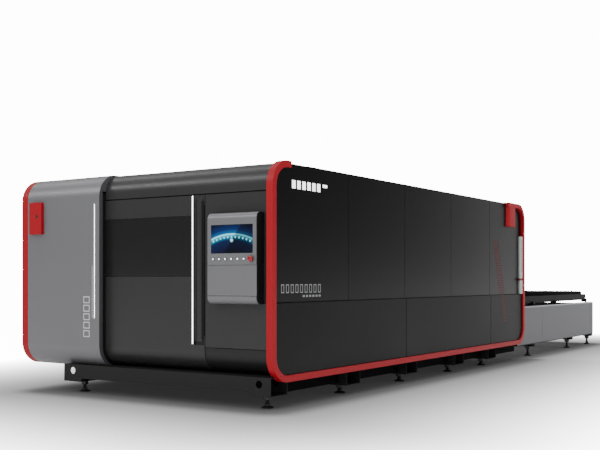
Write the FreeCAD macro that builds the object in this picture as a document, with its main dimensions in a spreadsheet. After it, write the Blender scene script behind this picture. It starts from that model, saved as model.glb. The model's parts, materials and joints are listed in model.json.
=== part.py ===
"""Fully enclosed fibre laser cutting machine with a two-level pallet changer, in millimetres.

The operator's front faces -Y, the right side +X and the pallet changer is at the rear, +Y.
The floor is z = 0, and x = y = 0 is the middle of the whole machine's footprint.
"""

import FreeCAD, Part
import os
import re
import Sketcher
from FreeCAD import Rotation, Vector

doc = FreeCAD.newDocument("laser_cutter")
sheet = doc.addObject("Spreadsheet::Sheet", "Sizes")

SIZES = {
    # enclosure
    "enclosure_length": 6400,
    "enclosure_width": 3280,
    "enclosure_top": 2240,
    "enclosure_bottom": 236,
    "corner_radius": 240,
    "trim_band": 60,
    "trim_depth": 70,
    "left_trim_depth": 92,
    "trim_top_front": 300,
    "hook_setback": 397,
    "hook_width": 251,
    "hook_drop": 336,
    "hook_round": 60,
    "panel_recess": 42,
    "panel_sheet": 4,
    "seam_gap": 5,
    "first_seam": 1390,
    "bay_pitch": 1252,
    "split_height": 955,
    "lower_proud": 20,
    "panel_fold": 30,
    "frame_bar": 60,
    "post_depth": 28,
    "rib_height": 40,
    # grey cabinet on the left, and the darker middle
    "cabinet_width": 1151,
    "cabinet_bottom": 262,
    "cabinet_top": 2232,
    "cabinet_radius": 235,
    "band_depth": 50,
    "middle_recess": 92,
    "middle_bottom": 296,
    "middle_top": 2230,
    "middle_radius": 200,
    "skin": 4,
    "roof_seam": 1970,
    "roof_front_depth": 640,
    "fixed_panel_width": 768,
    "lower_seam": 526,
    "fit_gap": 1,
    # sliding door
    "door_overlap": 4,
    "door_sheet": 30,
    "window_low": 1190,
    "window_high": 1770,
    "window_side": 80,
    "glass": 6,
    "handle_width": 97,
    "handle_proud": 9,
    "handle_low": 580,
    "handle_high": 1930,
    "grip_low": 640,
    "grip_high": 1866,
    "grip_depth": 18,
    "slot_width": 20,
    "strip_width": 20,
    "strip_gap": 11,
    "strip_proud": 6,
    "strip_low": 556,
    "strip_high": 1954,
    "door_rail_size": 40,
    "rail_depth": 20,
    "hanger_width": 90,
    "slide_gap": 0.5,
    # console
    "console_width": 557,
    "console_side": 157,
    "console_low": 942,
    "console_high": 1773,
    "console_reach": 27,
    "console_round": 42,
    "console_cover": 7,
    "console_wall": 12,
    "console_edge": 12,
    "screen_width": 467,
    "screen_height": 255,
    "screen_low": 1404,
    "screen_thick": 5,
    "button_radius": 10.5,
    "button_thick": 4,
    "button_stem": 5,
    "button_pitch": 70,
    "button_height": 1350,
    "button_first": 70,
    "press_travel": 3,
    "stop_radius": 28,
    "stop_stem": 12,
    "stop_cap": 16,
    "stop_side": 50,
    "stop_height": 38,
    "flap_low": 1014,
    "flap_high": 1296,
    "hinge_pin_radius": 2,
    "keyboard_height": 180,
    "keyboard_width": 440,
    "keyboard_thick": 24,
    # lock on the cabinet, and the status lamp at the rear of the right side
    "lock_left": 156,
    "barrel_radius": 11,
    "barrel_side": 118,
    "barrel_lift": 22,
    "white_line_side": 73,
    "white_line_width": 14,
    "white_line_low": 775,
    "white_line_high": 1926,
    "lock_width": 185,
    "lock_height": 334,
    "lock_low": 1640,
    "lock_proud": 36,
    "lock_radius": 12,
    "lamp_width": 90,
    "lamp_low": 957,
    "lamp_high": 1783,
    "lamp_rear": 12,
    "lamp_proud": 30,
    "lamp_round": 22,
    # base frame and feet
    "tube_width": 272,
    "tube_low": 96,
    "tube_high": 290,
    "tube_wall": 8,
    "tube_end": 37,
    "tube_length": 2616,
    "block_length": 250,
    "tube_front": 18,
    "block_low": 115,
    "front_beam_low": 150,
    "tube_pitch": 1328,
    "tube_first": 1353,
    "tube_last": 5098,
    "lift_hole_radius": 35,
    "lift_hole_height": 226,
    "lift_hole_left": 128,
    "lift_hole_right": 127,
    "outline_gap": 2,
    "beam_width": 120,
    "beam_side": 200,
    "foot_radius": 58,
    "foot_pad": 26,
    "foot_stem": 14,
    "front_foot_left": 161,
    "front_foot_right": 128,
    # bed and gantry
    "bed_width": 74,
    "bed_side": 90,
    "bed_start": 1150,
    "bed_top": 1060,
    "bed_wall": 12,
    "bed_length": 4900,
    "cross_guide": 20,
    "guide_width": 45,
    "guide_height": 38,
    "gantry_place": 2200,
    "gantry_depth": 260,
    "gantry_low": 1160,
    "gantry_high": 1440,
    "carriage_width": 300,
    "carriage_place": 860,
    "carriage_thick": 50,
    "carriage_high": 300,
    "slide_width": 180,
    "slide_thick": 40,
    "head_radius": 45,
    "head_low": 1040,
    "head_height": 200,
    "nozzle_height": 60,
    "nozzle_radius": 12,
    # pallets and the changer behind the enclosure
    "table_length": 3880,
    "table_recess": 120,
    "table_width": 1940,
    "table_top": 739,
    "table_low": 195,
    "table_panel": 4,
    "table_post": 40,
    "table_start": 20,
    "leg_first": 686,
    "leg_second": 2612,
    "leg_last": 102,
    "frame_drop": 12,
    "bracket_height": 38,
    "bracket_width": 60,
    "bracket_length": 160,
    "table_foot_side": 90,
    "table_seam": 1121,
    "table_strip": 170,
    "drive_size": 180,
    "pallet_width": 1780,
    "pallet_side": 200,
    "pallet_length": 3350,
    "pallet_start": 6740,
    "pallet_low": 800,
    "rail_height": 104,
    "pallet_rail": 50,
    "pallet_drop": 240,
    "pallet_travel": 4200,
    "slat_count": 27,
    "slat_thick": 3,
    "slat_above": 61,
    "wheel_radius": 32,
    "wheel_width": 28,
    "wheel_gap": 5,
    "axle_radius": 12,
    "axle_height": 792.5,
    "axle_first": 60,
    "axle_second": 540,
    "axle_third": 1590,
    "axle_last": 60,
    "track_ledge": 36,
    "track_height": 12,
    "opening_low": 470,
    "opening_high": 1120,
    "source_width": 480,
    "source_depth": 1400,
    "source_height": 1100,
    "source_gap": 50,
}

for row, (alias, value) in enumerate(SIZES.items(), start=1):
    sheet.set(f"A{row}", alias)
    sheet.set(f"B{row}", str(value))
    sheet.setAlias(f"B{row}", alias)
doc.recompute()

# Planes that many pieces share, as expressions of the sheet's cells.
RIGHT = "(enclosure_width / 2)"
LEFT = "(-enclosure_width / 2)"
FRONT = "((console_reach + stop_height - enclosure_length - table_length) / 2)"
REAR = f"({FRONT} + enclosure_length)"
PANEL_X = f"({RIGHT} - panel_recess - panel_sheet)"
LEFT_PANEL_X = f"({LEFT} + left_trim_depth)"
CABINET_RIGHT = f"({LEFT} + cabinet_width)"
MIDDLE_Y = f"({FRONT} + middle_recess)"
MIDDLE_RIGHT = f"({RIGHT} - trim_depth)"
DOOR_RIGHT = f"({MIDDLE_RIGHT} - fixed_panel_width)"
DOOR_LEFT = f"({CABINET_RIGHT} - door_overlap)"
DOOR_TOP = "(roof_seam - seam_gap)"
CONSOLE_Y = f"({FRONT} - console_reach)"
CONSOLE_LEFT = f"({RIGHT} - console_side - console_width)"
TABLE_RIGHT = f"({RIGHT} - table_recess)"
TABLE_LEFT = f"({TABLE_RIGHT} - table_width)"
PALLET_RIGHT = f"({RIGHT} - pallet_side)"
PALLET_LEFT = f"({PALLET_RIGHT} - pallet_width)"
BED_RIGHT = f"({RIGHT} - bed_side)"
BED_LEFT = f"({PALLET_LEFT} + {PALLET_RIGHT} - {BED_RIGHT})"
PANEL_TOP = "(middle_top - skin)"

ALIAS = re.compile(r"\b(" + "|".join(sorted(SIZES, key=len, reverse=True)) + r")\b")
PLANES = {"X": "YZ_Plane", "Y": "XZ_Plane", "Z": "XY_Plane"}
TURNS = {"X": Rotation(Vector(0, 1, 0), 90), "Y": Rotation(Vector(1, 0, 0), -90), "Z": Rotation()}
FRONT_CORNERS = ((0, 0), (0, 1))
FRONT_LOW = ((0, 0),)
ALL_CORNERS = ((0, 0), (0, 1), (1, 0), (1, 1))
nodes = {}


def bind(thing, prop, text):
    """Ties one size of an object to the sheet."""
    thing.setExpression(prop, ALIAS.sub(r"Sizes.\1", str(text)))


def place(thing, x, y, z):
    bind(thing, "Placement.Base.x", x)
    bind(thing, "Placement.Base.y", y)
    bind(thing, "Placement.Base.z", z)


def block(x, y, z, dx, dy, dz):
    """A box from its low corner and its three lengths."""
    box = doc.addObject("Part::Box", "block")
    for prop, text in (("Length", dx), ("Width", dy), ("Height", dz)):
        bind(box, prop, text)
    place(box, x, y, z)
    return box


def rod(x, y, z, radius, length, axis="Z"):
    """A round bar from the middle of its low end, along one axis."""
    round_bar = doc.addObject("Part::Cylinder", "rod")
    bind(round_bar, "Radius", radius)
    bind(round_bar, "Height", length)
    round_bar.Placement = FreeCAD.Placement(Vector(), TURNS[axis])
    place(round_bar, x, y, z)
    return round_bar


def rounded(x, y, z, dx, dy, dz, radius, axis="X", corners=ALL_CORNERS):
    """A bar along one axis whose long corners are rounded where asked."""
    body = doc.addObject("PartDesign::Body", "rounded")
    place(body, x, y, z)
    plane = next(p for p in body.Origin.OriginFeatures if p.Role == PLANES[axis])
    sketch = body.newObject("Sketcher::SketchObject", "section")
    sketch.AttachmentSupport = [(plane, "")]
    sketch.MapMode = "FlatFace"
    wide, high, long = {"X": (dy, dz, dx), "Y": (dx, dz, dy), "Z": (dx, dy, dz)}[axis]
    points = [Vector(0, 0), Vector(1, 0), Vector(1, 1), Vector(0, 1)]
    for i in range(4):
        sketch.addGeometry(Part.LineSegment(points[i], points[(i + 1) % 4]))
    for i in range(4):
        sketch.addConstraint(Sketcher.Constraint("Coincident", i, 2, (i + 1) % 4, 1))
    for i in range(4):
        sketch.addConstraint(Sketcher.Constraint("Vertical" if i % 2 else "Horizontal", i))
    sketch.addConstraint(Sketcher.Constraint("Coincident", 0, 1, -1, 1))
    for name, kind, edge, text in (("wide", "DistanceX", 0, wide), ("high", "DistanceY", 1, high)):
        index = sketch.addConstraint(Sketcher.Constraint(kind, edge, 1, edge, 2, 1))
        sketch.renameConstraint(index, name)
        bind(sketch, f"Constraints.{name}", text)
    pad = body.newObject("PartDesign::Pad", "length")
    pad.Profile = sketch
    pad.Reversed = axis == "Y"
    bind(pad, "Length", long)
    doc.recompute()
    bounds = pad.Shape.BoundBox
    middle = bounds.Center
    fields = {"X": ("y", "z"), "Y": ("x", "z"), "Z": ("x", "y")}[axis]
    names = []
    for number, edge in enumerate(pad.Shape.Edges, start=1):
        start, end = (v.Point for v in edge.Vertexes)
        if all(abs(getattr(start, f) - getattr(end, f)) < 1e-6 for f in fields):
            corner = tuple(int(getattr(start, f) > getattr(middle, f)) for f in fields)
            if corner in corners:
                names.append(f"Edge{number}")
    fillet = body.newObject("PartDesign::Fillet", "corner")
    fillet.Base = (pad, names)
    bind(fillet, "Radius", radius)
    return body


def cut(base, *tools):
    """What is left of one shape when the others are taken away."""
    result = doc.addObject("Part::Cut", "cut")
    result.Base = base
    result.Tool = tools[0] if len(tools) == 1 else fuse(*tools)
    return result


def fuse(*shapes):
    result = doc.addObject("Part::MultiFuse", "fuse")
    result.Shapes = list(shapes)
    return result


def common(one, other):
    result = doc.addObject("Part::Common", "common")
    result.Base = one
    result.Tool = other
    return result


def node(name, shape):
    """Names one finished sub-part."""
    shape.Label = name
    nodes[name] = shape
    return shape


def shell(x, y, z, dx, dy, dz, radius, wall, corners):
    """A bent sheet open along its back and ends."""
    outer = rounded(x, y, z, dx, dy, dz, radius, "X", corners)
    inner = rounded(
        f"({x}) - ({wall})", f"({y}) + ({wall})", f"({z}) + ({wall})",
        f"({dx}) + 2 * ({wall})", dy, f"({dz}) - 2 * ({wall})", f"({radius}) - ({wall})", "X", corners)
    return cut(outer, inner)


# ---------------------------------------------------------------- base frame and feet
TUBE_YS = [f"({FRONT} + tube_first + {i} * tube_pitch)" for i in range(3)] + [f"({FRONT} + tube_last)"]
TUBE_X = f"({RIGHT} - tube_end - tube_length)"


def tube(x, y, length, low):
    """A rectangular hollow section along X, open at both ends."""
    outer = block(x, y, low, length, "tube_width", f"tube_high - {low}")
    inner = block(
        f"{x} - tube_wall", f"{y} + tube_wall", f"{low} + tube_wall",
        f"{length} + 2 * tube_wall", "tube_width - 2 * tube_wall", f"tube_high - {low} - 2 * tube_wall")
    return cut(outer, inner)


FRONT_TUBE = f"({FRONT} + tube_front)"
RIGHT_BLOCK_X = f"({RIGHT} - tube_end - block_length)"
end_blocks = [tube(x, FRONT_TUBE, "block_length", "block_low") for x in (TUBE_X, RIGHT_BLOCK_X)]
HOLE_XS = (f"{TUBE_X} + lift_hole_left", f"{RIGHT} - tube_end - lift_hole_right")
lift_holes = [
    rod(x, f"{FRONT_TUBE} - tube_wall", "lift_hole_height", "lift_hole_radius",
        "tube_width + 2 * tube_wall", "Y")
    for x in HOLE_XS
]
front_bar = block(
    f"{TUBE_X} + block_length", FRONT_TUBE, "front_beam_low",
    "tube_length - 2 * block_length", "tube_width", "tube_high - front_beam_low")
# the cabinet and the trim hang lower than the bar, so it is relieved along their outlines
cabinet_space = rounded(
    LEFT, f"{FRONT} - outline_gap", "cabinet_bottom - outline_gap", "cabinet_width + outline_gap",
    "enclosure_length", "enclosure_top / 2", "cabinet_radius + outline_gap", "X", FRONT_LOW)
trim_space = rounded(
    f"{MIDDLE_RIGHT} - outline_gap", f"{FRONT} - outline_gap", "enclosure_bottom - outline_gap",
    "trim_depth + 2 * outline_gap", "enclosure_length", "enclosure_top / 2",
    "corner_radius + outline_gap", "X", FRONT_LOW)
node("front_beam", cut(fuse(*end_blocks, front_bar), cabinet_space, trim_space, *lift_holes))

BEAM_XS = (f"({RIGHT} - beam_side - beam_width / 2)", f"({TUBE_X} + block_length - beam_width)")
BEAM_LOW = "(tube_low + tube_wall * 3)"
beams = [
    block(x, f"{FRONT_TUBE} + tube_width", BEAM_LOW, "beam_width",
          "enclosure_length - tube_front - tube_width - frame_bar", f"tube_high - {BEAM_LOW}")
    for x in BEAM_XS
]
tube_spaces = [
    block(TUBE_X, y, "tube_low", "tube_length", "tube_width", "tube_high - tube_low") for y in TUBE_YS
]
node("cross_tubes", cut(
    fuse(*[tube(TUBE_X, y, "tube_length", "tube_low") for y in TUBE_YS]), cabinet_space, trim_space))
node("side_beams", cut(fuse(*beams), cabinet_space, *tube_spaces))


def foot(x, y, top):
    """A levelling foot: pad, threaded stem and lock nut."""
    pad = doc.addObject("Part::Cone", "pad")
    bind(pad, "Radius1", "foot_radius")
    bind(pad, "Radius2", "foot_radius - foot_stem")
    bind(pad, "Height", "foot_pad")
    place(pad, x, y, 0)
    stem = rod(x, y, "foot_pad / 2", "foot_stem", f"{top} - foot_pad / 2")
    nut = rod(x, y, f"{top} - foot_stem", "foot_stem * 2", "foot_stem")
    return fuse(pad, stem, nut)


feet = []
for x in BEAM_XS:
    for y in TUBE_YS:
        feet.append(foot(f"{x} + beam_width / 2", f"{y} + tube_width / 2", "tube_low"))
for x in (f"{TUBE_X} + front_foot_left", f"{RIGHT} - tube_end - front_foot_right"):
    feet.append(foot(x, f"{FRONT_TUBE} + tube_width / 2", "block_low"))

# ---------------------------------------------------------------- red trims and side panels
def trim_ring(x, depth, low, high, radius):
    """A red band that runs round one end of the enclosure."""
    outer = rounded(x, FRONT, low, depth, "enclosure_length", f"{high} - {low}", radius)
    inner = rounded(
        f"{x} - trim_band", f"{FRONT} + trim_band", f"{low} + trim_band", f"{depth} + 2 * trim_band",
        "enclosure_length - 2 * trim_band", f"{high} - {low} - 2 * trim_band", f"{radius} - trim_band")
    return cut(outer, inner)


RIGHT_RING = (MIDDLE_RIGHT, "trim_depth", "enclosure_bottom", "enclosure_top", "corner_radius")
HOOK_START = "(enclosure_length - hook_setback - hook_width)"
HOOK_Y = f"({FRONT} + {HOOK_START})"
HOOK_LOW = "(enclosure_top - hook_drop)"
open_top = block(
    f"{MIDDLE_RIGHT} - trim_band", f"{FRONT} + trim_top_front", "enclosure_top - trim_band - fit_gap",
    "trim_depth + 2 * trim_band", f"{HOOK_START} - trim_top_front", "trim_band * 2")
hook = rounded(
    MIDDLE_RIGHT, HOOK_Y, HOOK_LOW, "trim_depth", "hook_width", "hook_drop", "hook_round", "Z", ((1, 0),))
node("trim_right", fuse(cut(trim_ring(*RIGHT_RING), open_top), hook))
node("trim_left", trim_ring(LEFT, "left_trim_depth", "cabinet_bottom", "cabinet_top", "cabinet_radius"))


def panel_field(x, low, high, radius, edge, thick="panel_sheet"):
    """The whole sheet that fills one trim ring, before its seams are cut."""
    return rounded(
        x, f"{FRONT} + {edge}", f"{low} + {edge}", thick, f"enclosure_length - 2 * {edge}",
        f"{high} - {low} - 2 * {edge}", f"{radius} - {edge}")


top_strip = block(
    PANEL_X, f"{FRONT} + trim_top_front", "enclosure_top / 2", "panel_sheet",
    f"{HOOK_START} - trim_top_front", f"{PANEL_TOP} - enclosure_top / 2")
hook_space = block(PANEL_X, HOOK_Y, HOOK_LOW, "panel_sheet", "hook_width", "hook_drop")
right_field = cut(fuse(panel_field(PANEL_X, *RIGHT_RING[2:], "trim_band"), top_strip), hook_space)
SEAM_YS = [FRONT] + [f"({FRONT} + first_seam + {i} * bay_pitch)" for i in range(4)] + [REAR]


def panel(field, start, end, low, high, edge="seam_gap / 2"):
    """The part of a side sheet between two seams."""
    space = block(
        f"{PANEL_X} - 2 * fit_gap", f"{start} + {edge}", low, "panel_recess + panel_sheet",
        f"{end} - {start} - 2 * ({edge})", f"{high} - ({low})")
    return common(field, space)


for i in range(5):
    node(f"side_upper_{i + 1}", panel(
        right_field, SEAM_YS[i], SEAM_YS[i + 1], "split_height + seam_gap / 2", "enclosure_top"))
# the lower sheets stand prouder than the upper ones and are folded back along their edges
FOLD = "(seam_gap / 2 + panel_fold)"
lower_field = panel_field(PANEL_X, *RIGHT_RING[2:], "trim_band", "panel_sheet + lower_proud")
hollow_field = panel_field(
    f"{PANEL_X} - fit_gap", *RIGHT_RING[2:], "(trim_band + panel_fold)", "lower_proud + fit_gap")
for i, (start, end) in enumerate(((0, 2), (2, 4), (4, 5)), start=1):
    side_sheet = panel(
        lower_field, SEAM_YS[start], SEAM_YS[end], "enclosure_bottom", "split_height - seam_gap / 2")
    hollow = panel(
        hollow_field, SEAM_YS[start], SEAM_YS[end], "enclosure_bottom", f"split_height - {FOLD}", FOLD)
    node(f"side_lower_{i}", cut(side_sheet, hollow))
node("left_panel", panel_field(
    LEFT_PANEL_X, "cabinet_bottom", "cabinet_top", "cabinet_radius", "(skin + outline_gap)"))

# ---------------------------------------------------------------- inner frame
POST_LOW = "(tube_high + rib_height)"
POST_TOP = "(middle_top - skin)"
RIGHT_POST_X = f"({PANEL_X} - post_depth)"
LEFT_POST_X = f"({LEFT_PANEL_X} + panel_sheet)"
INNER_WIDTH = f"({PANEL_X} - {LEFT_POST_X})"
REAR_POST_Y = f"({REAR} - trim_band - frame_bar)"
RIB_YS = [f"({FRONT} + tube_front + tube_width + frame_bar)"] + [
    f"({y} + tube_width / 2 - frame_bar / 2)" for y in TUBE_YS] + [REAR_POST_Y]
POST_YS = [f"({y} - frame_bar / 2)" for y in SEAM_YS[1:5]] + [REAR_POST_Y]
frame_bars = []
for y in RIB_YS:
    frame_bars.append(block(LEFT_POST_X, y, "tube_high", INNER_WIDTH, "frame_bar", "rib_height"))
for y in POST_YS:
    for x in (LEFT_POST_X, RIGHT_POST_X):
        frame_bars.append(block(x, y, "tube_high", "post_depth", "frame_bar", f"{POST_TOP} - tube_high"))
    frame_bars.append(block(LEFT_POST_X, y, f"{POST_TOP} - frame_bar", INNER_WIDTH, "frame_bar", "frame_bar"))
SILL_Y = RIB_YS[0]
for x in (LEFT_POST_X, RIGHT_POST_X):
    for z in ("tube_high", f"{POST_TOP} - frame_bar", "split_height - frame_bar / 2"):
        frame_bars.append(block(
            x, SILL_Y, z, "post_depth", f"{REAR_POST_Y} + frame_bar - {SILL_Y}", "frame_bar"))
FRONT_POST_Y = f"({FRONT} + roof_front_depth - frame_bar)"
for x in (LEFT_POST_X, RIGHT_POST_X):
    frame_bars.append(block(x, FRONT_POST_Y, "tube_high", "post_depth", "frame_bar", f"{POST_TOP} - tube_high"))
frame_bars.append(block(
    LEFT_POST_X, FRONT_POST_Y, f"{POST_TOP} - frame_bar", INNER_WIDTH, "frame_bar", "frame_bar"))
# a stub leg at the front sill meets the fixed panel's post and the lower curved panel
DOOR_POST_X = f"({DOOR_RIGHT} + door_rail_size)"
POST_FRONT_Y = f"({MIDDLE_Y} + skin)"
for x in (DOOR_POST_X, f"({MIDDLE_RIGHT} - frame_bar - skin)"):
    frame_bars.append(block(
        x, POST_FRONT_Y, "lower_seam - frame_bar / 2", "frame_bar", "frame_bar",
        "roof_seam - lower_seam + frame_bar / 2"))
    frame_bars.append(block(
        x, POST_FRONT_Y, "lower_seam - frame_bar / 2", "frame_bar",
        f"{SILL_Y} + frame_bar - {POST_FRONT_Y}", "frame_bar / 2"))
    frame_bars.append(block(
        x, SILL_Y, "tube_high", "frame_bar", "frame_bar", "lower_seam - tube_high"))
RAIL_Y = f"({MIDDLE_Y} + door_sheet + 2 * fit_gap + rail_depth / 2)"
RAIL_LOW = "(roof_seam + seam_gap)"
RAIL_X = f"({LEFT_POST_X} + post_depth)"
frame_bars.append(block(
    RAIL_X, RAIL_Y, RAIL_LOW, f"{MIDDLE_RIGHT} - {RAIL_X}", "rail_depth", "door_rail_size"))
for x in (RAIL_X, f"({MIDDLE_RIGHT} - frame_bar)"):
    frame_bars.append(block(
        x, f"{RAIL_Y} + rail_depth", RAIL_LOW, "frame_bar",
        f"{FRONT_POST_Y} + frame_bar - {RAIL_Y} - rail_depth",
        "door_rail_size"))
    frame_bars.append(block(
        x, FRONT_POST_Y, RAIL_LOW, "frame_bar", "frame_bar", f"{POST_TOP} - {RAIL_LOW}"))
node("inner_frame", cut(fuse(*frame_bars), nodes["trim_right"]))

# ---------------------------------------------------------------- rear wall and roof
WALL_Y = f"({REAR} - trim_band)"
rear_sheet = block(
    LEFT_POST_X, WALL_Y, "tube_high", f"{MIDDLE_RIGHT} - {LEFT_POST_X}",
    "panel_sheet", f"{POST_TOP} - tube_high")
rear_opening = block(
    f"{TABLE_LEFT} + table_panel", f"{WALL_Y} - panel_sheet", "opening_low",
    "table_width - 2 * table_panel", "3 * panel_sheet", "opening_high - opening_low")
node("rear_wall", cut(rear_sheet, rear_opening))
node("roof_deck", cut(block(
    LEFT_POST_X, f"{FRONT} + roof_front_depth + seam_gap", POST_TOP, INNER_WIDTH,
    "enclosure_length - roof_front_depth - seam_gap - trim_band", "skin"), nodes["trim_right"]))
ROOF_WIDTH = f"({MIDDLE_RIGHT} - {CABINET_RIGHT} - fit_gap)"
roof_outer = rounded(
    f"{CABINET_RIGHT} + fit_gap", MIDDLE_Y, "roof_seam", ROOF_WIDTH, "roof_front_depth - middle_recess",
    "middle_top - roof_seam", "middle_radius", "X", ((0, 1),))
roof_inner = rounded(
    f"{CABINET_RIGHT} - skin", f"{MIDDLE_Y} + skin", "roof_seam - skin", f"{ROOF_WIDTH} + 3 * skin",
    "roof_front_depth - middle_recess", "middle_top - roof_seam", "middle_radius - skin", "X", ((0, 1),))
node("roof_front", cut(roof_outer, roof_inner))

# ---------------------------------------------------------------- grey cabinet on the left
CABINET_X = LEFT_PANEL_X
CABINET_HIGH = "(cabinet_top - cabinet_bottom)"
node("cabinet_skin", shell(
    CABINET_X, FRONT, "cabinet_bottom", f"{CABINET_RIGHT} - {CABINET_X}", "roof_front_depth", CABINET_HIGH,
    "cabinet_radius", "skin", FRONT_CORNERS))
flange = rounded(
    f"{CABINET_RIGHT} - skin", f"{FRONT} + skin", "cabinet_bottom + skin", "skin", "roof_front_depth - skin",
    f"{CABINET_HIGH} - 2 * skin", "cabinet_radius - skin", "X", FRONT_CORNERS)
doorway = rounded(
    f"{CABINET_RIGHT} - 2 * skin", f"{FRONT} + band_depth", "middle_bottom - 4 * skin", "4 * skin",
    "roof_front_depth", "roof_seam + frame_bar + door_rail_size - middle_bottom",
    "middle_radius + 3 * skin", "X", FRONT_LOW)
node("cabinet_side", cut(flange, doorway, nodes["inner_frame"]))
node("white_line", block(
    f"{CABINET_RIGHT} - white_line_side", f"{FRONT} - panel_sheet / 2", "white_line_low", "white_line_width",
    "panel_sheet / 2", "white_line_high - white_line_low"))
LOCK_X = f"({LEFT} + lock_left)"
BARREL_X = f"({LOCK_X} + barrel_side)"
BARREL_Z = "(lock_low + lock_height / 2 + barrel_lift)"
lock_block = rounded(
    LOCK_X, f"{FRONT} - lock_proud", "lock_low", "lock_width", "lock_proud", "lock_height", "lock_radius", "Y")
barrel_bore = rod(
    BARREL_X, f"{FRONT} - 2 * lock_proud", BARREL_Z, "barrel_radius + slide_gap", "3 * lock_proud", "Y")
node("lock_plate", cut(lock_block, barrel_bore))
barrel = rod(BARREL_X, f"{FRONT} - lock_proud - 2 * slide_gap", BARREL_Z, "barrel_radius", "lock_proud", "Y")
key_slot = block(
    f"{BARREL_X} - fit_gap", f"{FRONT} - lock_proud - barrel_radius", f"{BARREL_Z} - barrel_radius / 2",
    "2 * fit_gap", "2 * barrel_radius", "barrel_radius")
node("lock_barrel", cut(barrel, key_slot))

# ---------------------------------------------------------------- fixed front panel and lower panel
FIXED_X = f"({DOOR_RIGHT} + seam_gap / 2)"
FIXED_WIDTH = f"({MIDDLE_RIGHT} - {FIXED_X})"
node("fixed_panel", block(
    FIXED_X, MIDDLE_Y, "lower_seam + seam_gap / 2", FIXED_WIDTH, "skin",
    f"{DOOR_TOP} - lower_seam - seam_gap / 2"))
lower_shell = rounded(
    FIXED_X, MIDDLE_Y, "middle_bottom", FIXED_WIDTH, "middle_radius + seam_gap",
    "lower_seam - seam_gap / 2 - middle_bottom", "middle_radius", "X", FRONT_LOW)
lower_hollow = rounded(
    f"{FIXED_X} - skin", f"{MIDDLE_Y} + skin", "middle_bottom + skin", f"{FIXED_WIDTH} + 2 * skin",
    "middle_radius + seam_gap", "lower_seam - middle_bottom", "middle_radius - skin", "X", FRONT_LOW)
node("lower_panel", cut(lower_shell, lower_hollow))

# ---------------------------------------------------------------- sliding door
DOOR_HIGH = f"({DOOR_TOP} - middle_bottom)"
DOOR_WIDE = f"({DOOR_RIGHT} - {DOOR_LEFT} - seam_gap)"
STRIP_RIGHT = f"({DOOR_RIGHT} - slot_width - seam_gap - handle_width - strip_gap)"
STRIP_LEFT = f"({STRIP_RIGHT} - strip_width)"
GRIP_LEFT = f"({DOOR_RIGHT} - slot_width - seam_gap)"
door_outer = rounded(
    DOOR_LEFT, MIDDLE_Y, "middle_bottom", DOOR_WIDE, "middle_radius + seam_gap", DOOR_HIGH, "middle_radius",
    "X", FRONT_LOW)
door_hollow = rounded(
    f"{DOOR_LEFT} - door_sheet", f"{MIDDLE_Y} + door_sheet", "middle_bottom + door_sheet",
    f"{DOOR_RIGHT} - {DOOR_LEFT} + 2 * door_sheet", "middle_radius + seam_gap", DOOR_HIGH,
    "middle_radius - door_sheet",
    "X", FRONT_LOW)
pane_seat = block(
    f"{DOOR_LEFT} - fit_gap", f"{MIDDLE_Y} - glass", "window_low", f"{STRIP_LEFT} - {DOOR_LEFT} + fit_gap",
    "2 * glass", "window_high - window_low")
sight_hole = block(
    f"{DOOR_LEFT} + window_side", f"{MIDDLE_Y} - glass", "window_low + window_side / 2",
    f"{STRIP_LEFT} - {DOOR_LEFT} - 2 * window_side", "2 * glass + door_sheet",
    "window_high - window_low - window_side")
grip_slot = block(
    GRIP_LEFT, f"{MIDDLE_Y} - grip_depth", "grip_low", "slot_width", "2 * grip_depth", "grip_high - grip_low")
HANGER_LOW = f"({DOOR_TOP} - 2 * door_rail_size)"
HANGER_TOP = f"({RAIL_LOW} + door_rail_size + 4 * skin)"
hangers = []
for x in (f"({DOOR_LEFT} + hanger_width)", f"({DOOR_RIGHT} - 2 * hanger_width)"):
    hangers.append(block(
        x, f"{MIDDLE_Y} + door_sheet", HANGER_LOW, "hanger_width",
        f"{RAIL_Y} - {MIDDLE_Y} - door_sheet - 2 * slide_gap", f"{HANGER_TOP} - {HANGER_LOW}"))
    hangers.append(block(
        x, f"{MIDDLE_Y} + door_sheet", f"{HANGER_TOP} - 4 * skin", "hanger_width",
        f"{RAIL_Y} + rail_depth - {MIDDLE_Y} - door_sheet", "4 * skin"))
node("door_panel", fuse(cut(door_outer, door_hollow, pane_seat, sight_hole, grip_slot), *hangers))
node("door_window", block(
    DOOR_LEFT, MIDDLE_Y, "window_low + fit_gap", f"{STRIP_LEFT} - {DOOR_LEFT} - fit_gap", "glass",
    "window_high - window_low - 2 * fit_gap"))
node("door_light", rounded(
    STRIP_LEFT, f"{MIDDLE_Y} - strip_proud", "strip_low", "strip_width", "strip_proud",
    "strip_high - strip_low", "strip_width / 8", "Y"))
node("door_grip", rounded(
    f"{GRIP_LEFT} - handle_width + fit_gap", f"{MIDDLE_Y} - handle_proud", "handle_low",
    "handle_width - 2 * fit_gap",
    "handle_proud", "handle_high - handle_low", "handle_proud", "Y"))

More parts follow.
